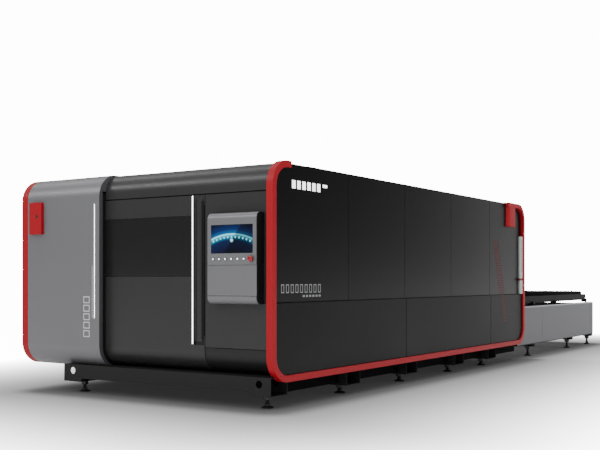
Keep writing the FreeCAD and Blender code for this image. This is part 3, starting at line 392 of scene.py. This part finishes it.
# Where feet stand: places along X, places along Y, and the stem's top in mm.
FEET = (
    ((1.440, -0.823), (-3.6185, -2.2905, -0.9625, 0.1265), 96),
    ((1.475, -0.852), (-4.9535,), 115),
    ((1.430, -0.330), TABLE_FEET_Y, 145),
)
PAD = [(55, 0), (58, 2), (58, 9), (54, 13), (34, 19), (27, 23), (25, 30), (18, 32)]
LOCK_NUT = [(26, 33), (29, 35), (29, 43), (26, 45)]
THREAD_START, THREAD_PITCH = 31, 5
CORE, CREST = 15.0, 18.0


def foot(shape, place, top):
    """One levelling foot: a domed pad with a hub, a threaded stem and two hexagon nuts."""
    turned(shape, PAD, place)
    thread = [(CORE, THREAD_START)]
    turn = THREAD_START
    while turn + THREAD_PITCH < top:
        thread += [(CREST, turn + 1.5), (CREST, turn + 3.0), (CORE, turn + 4.5)]
        turn += THREAD_PITCH
    thread.append((CORE, top))
    turned(shape, thread, place, 20)
    turned(shape, LOCK_NUT, place, 6)
    turned(shape, [(35, top - 40), (39, top - 37), (39, top - 3), (36, top)], place, 6, 0.4)


feet = bmesh.new()
for xs, ys, top in FEET:
    for x in xs:
        for y in ys:
            foot(feet, (x, y, 0.0), top)
piece("feet_turned", mesh_of("feet_turned", feet), [foot_steel], "levelling_feet")


# ---------------------------------------------------------------- slats
def slat_tree():
    """Geometry Nodes: toothed slat strips in a row. Sizes come in as named inputs, in metres."""
    tree = bpy.data.node_groups.new("slat_row", "GeometryNodeTree")
    face = tree.interface
    face.new_socket("Geometry", in_out="INPUT", socket_type="NodeSocketGeometry")
    face.new_socket("Geometry", in_out="OUTPUT", socket_type="NodeSocketGeometry")
    for name, kind in (("Slats", "Int"), ("Pitch", "Float"), ("Teeth", "Int"), ("Length", "Float"),
                       ("Body Height", "Float"), ("Tooth Height", "Float"),
                       ("Thickness", "Float"), ("Coat", "Material")):
        face.new_socket(name, in_out="INPUT", socket_type="NodeSocket" + kind)
    entry = add(tree, "NodeGroupInput").outputs
    # the top edge as a saw: two points to a tooth, each second one raised
    points = maths(tree, "MULTIPLY_ADD", entry["Teeth"], 2.0, 1.0)
    reach = add(tree, "ShaderNodeCombineXYZ", {"X": entry["Length"]})
    line = add(tree, "GeometryNodeCurvePrimitiveLine", {"End": reach.outputs[0]})
    even = add(tree, "GeometryNodeResampleCurve", {"Curve": line.outputs[0], "Count": points})
    edge = add(tree, "GeometryNodeCurveToMesh", {"Curve": even.outputs[0]})
    number = add(tree, "GeometryNodeInputIndex")
    odd = maths(tree, "MODULO", number.outputs[0], 2.0)
    rise = maths(tree, "MULTIPLY_ADD", odd, entry["Tooth Height"], entry["Body Height"])
    lift = add(tree, "ShaderNodeCombineXYZ", {"Z": rise})
    saw = add(tree, "GeometryNodeSetPosition", {
        "Geometry": edge.outputs[0], "Offset": lift.outputs[0]})
    # the strip under it, down to the base line
    drop = add(tree, "GeometryNodeExtrudeMesh", {
        "Mesh": saw.outputs[0], "Offset": (0.0, 0.0, -1.0), "Offset Scale": 0.01}, mode="EDGES")
    spot = add(tree, "GeometryNodeInputPosition")
    split = add(tree, "ShaderNodeSeparateXYZ", {"Vector": spot.outputs[0]})
    base_line = add(tree, "ShaderNodeCombineXYZ", {
        "X": split.outputs["X"], "Y": split.outputs["Y"]})
    strip = add(tree, "GeometryNodeSetPosition", {
        "Geometry": drop.outputs["Mesh"], "Selection": drop.outputs["Top"],
        "Position": base_line.outputs[0]})
    # the sheet's thickness
    back = add(tree, "GeometryNodeFlipFaces", {"Mesh": strip.outputs[0]})
    thick = add(tree, "ShaderNodeCombineXYZ", {"Y": entry["Thickness"]})
    front = add(tree, "GeometryNodeExtrudeMesh", {
        "Mesh": strip.outputs[0], "Offset": thick.outputs[0], "Individual": False}, mode="FACES")
    both = add(tree, "GeometryNodeJoinGeometry")
    tree.links.new(back.outputs[0], both.inputs[0])
    tree.links.new(front.outputs["Mesh"], both.inputs[0])
    closed = add(tree, "GeometryNodeMergeByDistance", {
        "Geometry": both.outputs[0], "Distance": 0.0002})
    # the row
    step = add(tree, "ShaderNodeCombineXYZ", {"Y": entry["Pitch"]})
    row = add(tree, "GeometryNodeMeshLine", {"Count": entry["Slats"], "Offset": step.outputs[0]})
    laid = add(tree, "GeometryNodeInstanceOnPoints", {
        "Points": row.outputs[0], "Instance": closed.outputs[0]})
    real = add(tree, "GeometryNodeRealizeInstances", {"Geometry": laid.outputs[0]})
    coated = add(tree, "GeometryNodeSetMaterial", {
        "Geometry": real.outputs[0], "Material": entry["Coat"]})
    add(tree, "NodeGroupOutput", {"Geometry": coated.outputs[0]})
    return tree


def grown(name, tree, values):
    """Runs a Geometry Nodes tree on an empty mesh and returns the result as a plain mesh."""
    seed = linked(name + "_seed", bpy.data.meshes.new(name + "_seed"))
    made = seed.modifiers.new("grow", "NODES")
    made.node_group = tree
    for item in tree.interface.items_tree:
        if item.item_type == "SOCKET" and item.in_out == "INPUT" and item.name in values:
            made[item.identifier] = values[item.name]
    settled = seed.evaluated_get(bpy.context.evaluated_depsgraph_get())
    mesh = bpy.data.meshes.new_from_object(settled)
    bpy.data.objects.remove(seed)
    return mesh


SLAT_ROW = {
    "Slats": 27, "Pitch": 0.12115, "Teeth": 25, "Length": 1.690, "Body Height": 0.081,
    "Tooth Height": 0.032, "Thickness": 0.003, "Coat": slat,
}
SLATS = slat_tree()
for node, first in (("upper_slats", (-0.295, 1.7310, 0.852)),
                    ("lower_slats", (-0.295, -2.469, 0.612))):
    mesh = grown(node, SLATS, SLAT_ROW)
    mesh.transform(Matrix.Translation(first))
    piece(node + "_toothed", mesh, [slat], node)


# ---------------------------------------------------------------- console
CONSOLE_LEFT, CONSOLE_RIGHT = 0.926, 1.483
CONSOLE_FACE, CONSOLE_BACK = -5.1345, -5.0155
CONSOLE_WALL = -5.1265              # front of the case's walls
CONSOLE_LOW, CONSOLE_HIGH = 0.942, 1.773
FLAP_LOW, FLAP_HIGH = 1.0135, 1.2955  # the opening that the flap closes
SCREEN = (0.968, 1.401, 1.441, 1.662)  # left, low, right, high
SCREEN_SINK = 0.004
ROLL = 0.058
ROLL_STEPS = 8
KEY_HEIGHT = 1.350
KEYS = steps(0.996, 0.07, 6)
STOP_X = 1.433
LIT_RADIUS = 0.0075
# Turned profiles as (radius, reach) in mm.
KEY_BEZEL = [(13.5, 0), (13.5, 1.2), (12.6, 2.0), (11.4, 2.0), (11.0, 1.4), (11.0, 0)]
STOP_BEZEL = [(24, 0), (24, 2.0), (22, 3.0), (14, 3.0), (13, 0)]
KEY_CAP = [(10.4, -13), (10.4, 6.4), (9.8, 7.4), (7.4, 8.0), (4.0, 8.0), (0.5, 8.0)]
STOP_CAP = [(12, -14), (12, 10), (17, 16), (24, 20), (27.2, 24), (28, 28), (27.0, 31.5),
            (24, 34.4), (18, 36.6), (10, 37.7), (1, 38)]


def console_band(shape, low, high, roll_low, roll_high, pocket=None):
    """One bent band of the console: flat in front, rolled back where it ends.

    A pocket is a sunk window, given as left, low, right and high."""
    line = [(CONSOLE_BACK, low)]
    bends = [math.pi / 2 * i / ROLL_STEPS for i in range(ROLL_STEPS + 1)]
    if roll_low:
        line += [(CONSOLE_FACE + ROLL - ROLL * math.sin(a), low + ROLL - ROLL * math.cos(a))
                 for a in bends]
    else:
        line.append((CONSOLE_FACE, low))
    if pocket:
        line += [(CONSOLE_FACE, pocket[1]), (CONSOLE_FACE, pocket[3])]
    if roll_high:
        line += [(CONSOLE_FACE + ROLL - ROLL * math.cos(a), high - ROLL + ROLL * math.sin(a))
                 for a in bends]
    else:
        line.append((CONSOLE_FACE, high))
    line.append((CONSOLE_BACK, high))
    across = [CONSOLE_LEFT] + ([pocket[0], pocket[2]] if pocket else []) + [CONSOLE_RIGHT]
    grid = [[shape.verts.new((x, y, z)) for y, z in line] for x in across]
    for i in range(len(across) - 1):
        for k in range(len(line)):
            m = (k + 1) % len(line)
            quad = (grid[i][k], grid[i][m], grid[i + 1][m], grid[i + 1][k])
            if not (pocket and i == 1 and (line[k][1], line[m][1]) == (pocket[1], pocket[3])):
                shape.faces.new(quad)
                continue
            sunk = [shape.verts.new(v.co + Vector((0, SCREEN_SINK, 0))) for v in quad]
            for a in range(4):
                b = (a + 1) % 4
                shape.faces.new((quad[a], quad[b], sunk[b], sunk[a])).material_index = 1
            shape.faces.new(sunk).material_index = 1
    shape.faces.new(grid[0][::-1]).material_index = 1
    shape.faces.new(grid[-1]).material_index = 1


def console():
    """The console's bent grey skin over its black case, with bezels round the keys."""
    skin = bmesh.new()
    console_band(skin, FLAP_HIGH, CONSOLE_HIGH, False, True, SCREEN)
    console_band(skin, CONSOLE_LOW, FLAP_LOW, True, False)
    outward(skin)
    walls = bmesh.new()
    for low, high in (((0.929, CONSOLE_WALL, FLAP_LOW), (0.9815, CONSOLE_BACK, FLAP_HIGH)),
                      ((1.4275, CONSOLE_WALL, FLAP_LOW), (1.480, CONSOLE_BACK, FLAP_HIGH)),
                      ((0.9815, -5.0265, FLAP_LOW), (1.4275, CONSOLE_BACK, FLAP_HIGH))):
        slab(walls, low, high)
    for face in walls.faces:
        face.material_index = 1
    skin.from_mesh(mesh_of("console_walls", walls))
    shell = piece("console_shell", mesh_of("console_shell", skin), [grey, case_black_and_shade],
                  "console_cover", "console_case")
    break_corners(shell, 0.0012, 50)

    # Bezels in the darker grey: painted shade round each key.
    bezels = bmesh.new()
    for x in KEYS:
        turned(bezels, KEY_BEZEL, (x, CONSOLE_FACE, KEY_HEIGHT), 28, facing=True)
    turned(bezels, STOP_BEZEL, (STOP_X, CONSOLE_FACE, KEY_HEIGHT), facing=True)
    outward(bezels)
    shade(fitting("key_bezels", bezels, table_grey).data, 35)

    # The flap is one bent sheet across the whole face.
    lid = bmesh.new()
    slab(lid, (CONSOLE_LEFT, CONSOLE_FACE, 1.0165), (CONSOLE_RIGHT, -5.1280, 1.2925))
    break_corners(piece("console_flap", mesh_of("console_flap", lid), [grey], "keyboard_flap"),
                  0.0012)


def press_keys():
    """Grey caps with a lit white centre, and the mushroom of the stop button."""
    for i, x in enumerate(KEYS):
        cap = bmesh.new()
        for face in turned(cap, KEY_CAP, (x, CONSOLE_FACE, KEY_HEIGHT), 28, facing=True):
            reach = max(math.hypot(v.co.x - x, v.co.z - KEY_HEIGHT) for v in face.verts)
            face.material_index = int(reach < LIT_RADIUS)
        outward(cap)
        name = f"key_cap_{i + 1}"
        piece(name, mesh_of(name, cap), [table_grey, white], f"button_{i + 1}")
    cap = bmesh.new()
    turned(cap, STOP_CAP, (STOP_X, CONSOLE_FACE, KEY_HEIGHT), 48, facing=True)
    outward(cap)
    piece("stop_mushroom", mesh_of("stop_mushroom", cap), [stop_red], "stop_button", smooth=50)


def draw_screen(tree):
    """A plain machine screen: navy ground, one wide bright arc with even marks, and a glow, under a
    painted slanted reflection.
    """
    # distances from the arc's centre, which lies below the screen
    split = add(tree, "ShaderNodeSeparateXYZ", {"Vector": here(tree)})
    across = maths(tree, "SUBTRACT", split.outputs["X"], 1.2045)
    above = maths(tree, "SUBTRACT", split.outputs["Z"], 0.98)
    flat = add(tree, "ShaderNodeCombineXYZ", {"X": across, "Y": above}).outputs[0]
    far = add(tree, "ShaderNodeVectorMath", {0: flat}, operation="LENGTH").outputs["Value"]
    spread = add(tree, "ShaderNodeMapRange", {"Value": far, "From Min": 0.45, "From Max": 0.70})
    arc = add(tree, "ShaderNodeValToRGB", {"Fac": spread.outputs[0]})
    ramp = arc.color_ramp
    ramp.elements[0].color = lin("#060A22")
    ramp.elements[1].color = lin("#040920")
    for spot, code in ((0.36, "#081636"), (0.43, "#0C4B66"), (0.54, "#1E8FA6"),
                       (0.585, "#7FD9E4"), (0.62, "#124A74"), (0.76, "#0A1E48")):
        ramp.elements.new(spot).color = lin(code)
    # a painted reflection: the picture is full bright on one side of a slanted line and dimmed on
    # the other
    lean = add(tree, "ShaderNodeVectorMath", {0: flat, 1: (0.8, -0.59, 0.0)},
               operation="DOT_PRODUCT")
    side = add(tree, "ShaderNodeMapRange", {
        "Value": lean.outputs["Value"], "From Min": -0.326, "From Max": -0.310,
        "To Min": 1.0, "To Max": 0.4})
    shaded = add(tree, "ShaderNodeVectorMath", {0: arc.outputs["Color"], "Scale": side.outputs[0]},
                 operation="SCALE")
    # marks along the arc, one every 43 mm
    turn = maths(tree, "ARCTAN2", across, above)
    wave = maths(tree, "COSINE", maths(tree, "MULTIPLY", turn, 84.0))
    peak = add(tree, "ShaderNodeMapRange", {
        "Value": wave, "From Min": 0.3, "From Max": 0.95, "To Max": 0.55})
    band = maths(tree, "COMPARE", far, 0.570, 0.009)
    mark = maths(tree, "MULTIPLY", peak.outputs[0], band)
    # one round glow in the middle
    near = add(tree, "ShaderNodeVectorMath", {0: flat, 1: (0.0, 0.540, 0.0)},
               operation="DISTANCE")
    glow = add(tree, "ShaderNodeMapRange", {
        "Value": near.outputs["Value"], "From Min": 0.003, "From Max": 0.022,
        "To Min": 0.8, "To Max": 0.0})
    both = maths(tree, "MAXIMUM", mark, glow.outputs[0])
    lit = add(tree, "ShaderNodeMix", {"Factor": both}, data_type="RGBA")
    tree.links.new(shaded.outputs[0], lit.inputs[6])
    lit.inputs[7].default_value = lin("#B4F2FA")
    shader = tree.nodes[SHADER]
    tree.links.new(lit.outputs[2], shader.inputs["Base Color"])
    tree.links.new(lit.outputs[2], shader.inputs["Emission Color"])


console()
press_keys()
draw_screen(display.node_tree)


# ---------------------------------------------------------------- small parts and plain marks
def blocks(name, coat, corners, body=MACHINE):
    """Thin blocks on a body, given as (low corner, high corner)."""
    shape = bmesh.new()
    for low, high in corners:
        slab(shape, low, high)
    fitting(name, shape, coat, body)


def frame_of(axis, across, up, stroke, film):
    """Four thin strips round an open rectangle; film is where the print starts and ends.

    The axis names the face: "X" for the side, "Y" for the front."""
    a0, a1 = across
    z0, z1 = up
    strips = [((a0, z0), (a1, z0 + stroke)), ((a0, z1 - stroke), (a1, z1)),
              ((a0, z0 + stroke), (a0 + stroke, z1 - stroke)),
              ((a1 - stroke, z0 + stroke), (a1, z1 - stroke))]
    low, high = film
    if axis == "X":
        return [((low, p[0], p[1]), (high, q[0], q[1])) for p, q in strips]
    return [((p[0], low, p[1]), (q[0], high, q[1])) for p, q in strips]


# Thin dark sheets on the door paint the shade of a shallow pull recess beside the light bar: the
# recess, a painted shadow strip next to the bar, and its dark slot.
blocks("door_pull_recess", recess, [((0.6715, -5.0158, 0.545), (0.7920, -5.01545, 1.900))], "door")
blocks("door_pull_shadow", under, [((0.6715, -5.0162, 0.545), (0.6880, -5.0158, 1.900))], "door")
blocks("door_pull_slot", recess, [((0.7600, -5.0250, 0.600), (0.7750, -5.0246, 1.900))], "door")


def door_seal():
    """Brush strip that closes the doorway in the cabinet's flank round the door's curve."""
    left, right = -0.4925, -0.4895
    top, bend = 2.034, 0.501        # the strip is straight between these heights
    centre, outer, inner = -4.8105, 0.2475, 0.2063
    rows = [((centre - outer, height), (-5.0168, height)) for height in (top, bend)]
    for i in range(1, 30):
        a = math.radians(3 * i)
        rows.append([(centre - r * math.cos(a), bend - r * math.sin(a)) for r in (outer, inner)])
    shape = bmesh.new()
    grid = [[shape.verts.new((x, y, z)) for x in (left, right) for y, z in pair] for pair in rows]
    for up, down in zip(grid, grid[1:]):
        for a, b in ((0, 1), (1, 3), (3, 2), (2, 0)):
            shape.faces.new((up[a], up[b], down[b], down[a]))
    for end in (grid[0], grid[-1]):
        shape.faces.new([end[i] for i in (0, 1, 3, 2)])
    outward(shape)
    fitting("door_brush_seal", shape, recess)


door_seal()
# Rubber gasket in the joint under the roof's roll.
blocks("roof_gasket", under, [((-0.4885, -5.0168, 1.9600), (1.5700, -5.0159, 1.9700))])
# Floor guide that the sliding door runs along, behind the door's foot.
blocks("door_floor_guide", base, [((-1.50, -4.8030, 0.292), (0.79, -4.7980, 0.390)),
                                  ((-1.50, -4.8030, 0.287), (0.79, -4.7700, 0.292))])

# Plain printed marks where the real skin carries words: open blocks, dashes and bars with no
# meaning. Each pair is where a print starts and ends in front of its skin.
SIDE = (1.5980, 1.5984)
SIDE_LOW = (1.6180, 1.6184)
FRONT = (-5.1079, -5.1075)


def side_bar(start, end, low, high):
    """One printed block on the upper side panels."""
    return (SIDE[0], start, low), (SIDE[1], end, high)


# The bold white print blocks glow with the keys' lit plastic: painted light.
blocks("white_bold_marks", white,
       [side_bar(y, y + 0.058, 2.002, 2.078) for y in steps(-4.738, 0.086, 6)]
       + [side_bar(-4.205, -4.125, 2.050, 2.078)])
thin = []
for y in steps(-4.915, 0.078, 9):
    thin += frame_of("X", (y, y + 0.048), (1.040, 1.120), 0.009, SIDE)
thin += [side_bar(y, y + 0.036, 1.000, 1.020) for y in steps(-4.560, 0.056, 6)]
blocks("grey_thin_marks", faint, thin)
stack = []
for low in steps(0.580, 0.086, 5):
    stack += frame_of("Y", (-0.712, -0.624), (low, low + 0.068), 0.009, FRONT)
stack += [((-0.590, FRONT[0], low), (-0.581, FRONT[1], low + 0.009))
          for low in steps(0.782, 0.0155, 34)]
blocks("pale_stacked_marks", pale_print, stack)
ghost = []
for low, y in zip(steps(1.640, -0.0665, 11), steps(0.170, 0.022, 11)):
    ghost += frame_of("X", (y, y + 0.190), (low, low + 0.052), 0.015, SIDE)
blocks("dark_red_ghost_marks", ghost_red, ghost)
low_ghost = []
for low, y in zip(steps(0.895, -0.062, 6), steps(0.415, 0.014, 6)):
    low_ghost += frame_of("X", (y, y + 0.150), (low, low + 0.046), 0.012, SIDE_LOW)
blocks("dark_red_low_marks", ghost_red, low_ghost)

# A flat dark red ring round the lock barrel: painted shade of the keyhole's recess.
escutcheon = bmesh.new()
turned(escutcheon, [(11.9, 0.0), (11.9, 0.7), (20.3, 0.7), (21.0, 0.0)],
       (-1.366, -5.1435, 1.829), facing=True, hollow=True)
outward(escutcheon)
fitting("lock_escutcheon", escutcheon, red_dark)

# Side lamp: a column of faint dashes on the diffuser and a dark clip across it.
blocks("lamp_dashes", table_grey, [((1.6280, 1.176, low), (1.6284, 1.204, low + 0.022))
                                   for low in steps(1.270, 0.036, 13)])
blocks("lamp_clip", red_dark, [((1.5980, 1.098, 1.150), (1.6296, 1.2320, 1.178))])

# Black angle pads that tie the table's feet to its frame, just under the skirts.
blocks("table_foot_pads", under, [((x, y - 0.075, 0.1455), (x + 0.127, y + 0.075, 0.1945))
                                  for x in (1.385, -0.412) for y in TABLE_FEET_Y])

# Joints of the skin on the sides that stay away from the operator.
SEAMS = (-3.7175, -2.4655, -1.2135, 0.0385)
LEFT_SKIN, ROOF_SKIN = -1.5480, 2.2300
LEFT_FILM, ROOF_FILM = LEFT_SKIN - 0.0004, ROOF_SKIN + 0.0004
joints = [((LEFT_FILM, -5.04, 0.9530), (LEFT_SKIN, 1.23, 0.9575))]
for y in SEAMS:
    joints += [((LEFT_FILM, y - 0.0025, 0.300), (LEFT_SKIN, y + 0.0025, 2.190)),
               ((-1.535, y - 0.003, ROOF_SKIN), (1.585, y + 0.003, ROOF_FILM))]
for x in (-0.52, 0.55):
    joints += [((x - 0.003, -4.45, ROOF_SKIN), (x + 0.003, 1.22, ROOF_FILM))]
blocks("skin_joints", under, joints)

# Flush quarter-turn latches beside the joints: a square plate with a slotted bar on it.
PLATE, BAR = LEFT_SKIN - 0.0012, LEFT_SKIN - 0.0022
latches = []
for y in SEAMS:
    for z in (0.42, 0.84, 1.10, 2.06):
        for side in (-0.055, 0.055):
            middle = y + side
            latches += [
                ((PLATE, middle - 0.014, z - 0.014), (LEFT_SKIN, middle + 0.014, z + 0.014)),
                ((BAR, middle - 0.011, z - 0.002), (PLATE, middle + 0.011, z + 0.002))]
blocks("side_latches", plated, latches)


# ---------------------------------------------------------------- stage, light and camera
BACKDROP = 14.0                     # strength at which the backdrop shows as pure white
FLOOR_HALF = 60


def clear_of(tree, point, centre, half):
    """Distance on the floor from a rectangle."""
    shifted = add(tree, "ShaderNodeVectorMath", {0: point, 1: centre}, operation="SUBTRACT")
    mirrored = add(tree, "ShaderNodeVectorMath", {0: shifted.outputs[0]}, operation="ABSOLUTE")
    outside = add(tree, "ShaderNodeVectorMath", {0: mirrored.outputs[0], 1: half},
                  operation="SUBTRACT")
    kept = add(tree, "ShaderNodeVectorMath", {0: outside.outputs[0], 1: (0, 0, 0)},
               operation="MAXIMUM")
    return add(tree, "ShaderNodeVectorMath", {0: kept.outputs[0]},
               operation="LENGTH").outputs["Value"]


def studio_floor():
    """Pale matt floor with painted shade: darker by the machine, glowing into the white backdrop
    away from it.
    """
    mesh = bpy.data.meshes.new("floor")
    corners = [(x * FLOOR_HALF, y * FLOOR_HALF, 0) for x, y in ((-1, -1), (1, -1), (1, 1), (-1, 1))]
    mesh.from_pydata(corners, [], [(0, 1, 2, 3)])
    coat = material("pale_studio_floor", "#9A9A9A", 1.0, Specular_IOR_Level=0.0)
    coat.node_tree.nodes[SHADER].inputs["Emission Color"].default_value = WHITE
    mesh.materials.append(coat)
    tree = coat.node_tree
    shader = tree.nodes[SHADER].inputs
    point = here(tree)
    near = maths(tree, "MINIMUM", clear_of(tree, point, (0.2, -1.9, 0.0), (1.4, 3.2, 1.0)),
                 clear_of(tree, point, (0.55, 3.2, 0.0), (0.9, 1.9, 1.0)))
    # painted light: the glow grows with distance from the machine, painting its wide soft shadow,
    # and ends in the backdrop's white; it lights the machine weakly
    lifted = maths(tree, "EXPONENT", maths(tree, "MULTIPLY", near, 1.25))
    capped = maths(tree, "MINIMUM", maths(tree, "MULTIPLY_ADD", lifted, 0.2, -0.17), BACKDROP)
    weak = maths(tree, "MULTIPLY", maths(tree, "MINIMUM", capped, 1.0), 0.4)
    seen = add(tree, "ShaderNodeLightPath").outputs["Is Camera Ray"]
    shown = add(tree, "ShaderNodeMix", {"Factor": seen, "A": weak, "B": capped})
    tree.links.new(shown.outputs[0], shader["Emission Strength"])
    # painted shade: the floor's colour is darkened right beside the machine
    rim = add(tree, "ShaderNodeMapRange", {"Value": near, "From Min": 0.12, "From Max": 0.44},
              interpolation_type="SMOOTHSTEP")
    deep = add(tree, "ShaderNodeMix", {"Factor": rim.outputs[0]}, data_type="RGBA")
    deep.inputs[6].default_value = lin("#5A5A5A")
    deep.inputs[7].default_value = lin("#9A9A9A")
    tone = add(tree, "ShaderNodeMix", {"Factor": seen}, data_type="RGBA")
    tone.inputs[6].default_value = lin("#F0F0F0")
    tree.links.new(deep.outputs[2], tone.inputs[7])
    tree.links.new(tone.outputs[2], shader["Base Color"])
    return linked("floor", mesh)


def studio_world():
    """A plain white studio: bright behind the machine, much dimmer as a light on it."""
    world = bpy.data.worlds.new("studio")
    world.use_nodes = True
    sky = world.node_tree
    seen = add(sky, "ShaderNodeLightPath")
    aim = add(sky, "ShaderNodeTexCoord")
    height = add(sky, "ShaderNodeSeparateXYZ", {"Vector": aim.outputs["Generated"]})
    shine = add(sky, "ShaderNodeMapRange", {
        "Value": height.outputs["Z"], "From Min": 0.3, "From Max": 0.9,
        "To Min": 0.12, "To Max": 0.9})
    dim = add(sky, "ShaderNodeMix", {
        "Factor": seen.outputs["Is Glossy Ray"], "A": 0.5, "B": shine.outputs[0]})
    glow = add(sky, "ShaderNodeMix", {
        "Factor": seen.outputs["Is Camera Ray"], "A": dim.outputs[0], "B": BACKDROP})
    background = sky.nodes["Background"].inputs
    background["Color"].default_value = WHITE
    sky.links.new(glow.outputs[0], background["Strength"])
    bpy.context.scene.world = world


def area(name, place, aim, size, power, shows=("diffuse", "glossy")):
    """A soft rectangular studio light, for the kinds of reflection it is set up for."""
    lamp = bpy.data.lights.new(name, "AREA")
    lamp.shape = "RECTANGLE"
    lamp.size, lamp.size_y = size
    lamp.energy = power
    made = linked(name, lamp)
    made.location = place
    made.visible_camera = False
    made.visible_diffuse = "diffuse" in shows
    made.visible_glossy = "glossy" in shows
    made.rotation_euler = (Vector(aim) - Vector(place)).to_track_quat("-Z", "Y").to_euler()
    return made


def photograph_camera():
    """The photograph's view, measured from the foot of the machine's near corner."""
    cam = bpy.data.cameras.new("camera")
    cam.lens = 56.12
    cam.sensor_width = 36.0
    cam.shift_y = 0.0905
    cam.clip_end = 200
    camera = linked("camera", cam)
    corner = Vector((1.64, -5.1075, 0.0))
    look = Vector((-0.5483, 0.8363, 0.0))
    camera.location = corner + Vector((4.720, -6.761, 1.166))
    camera.rotation_euler = look.to_track_quat("-Z", "Y").to_euler()
    bpy.context.scene.camera = camera


floor = studio_floor()
studio_world()
# Two long strips of light far to the left draw the bright bands along the roof's roll.
BANDS = ("glossy",)
lights = [
    area("band_light", (-7.5, -11.6, 7.9), (-7.5, -4.9, 2.1), (12, 1.5), 720, BANDS),
    area("rim_light", (-7.5, -3.9, 10.0), (-7.5, -4.7, 2.1), (12, 1.6), 230, BANDS),
    area("front_light", (1.5, -13.0, 5.5), (-0.4, -5.0, 1.0), (8, 4), 330),
    area("side_light", (13.0, -1.0, 5.0), (1.6, 0.5, 1.2), (9, 4), 170),
    area("low_light", (1.0, -12.0, 0.5), (0.0, -5.0, 0.5), (8, 0.8), 45),
    area("rear_light", (2.5, 15.0, 2.5), (2.5, 0.0, 1.5), (9, 6), 190),
    area("top_light", (0.0, -1.0, 9.0), (0.0, -1.0, 0.0), (16, 22), 1500, ("diffuse",)),
]
photograph_camera()
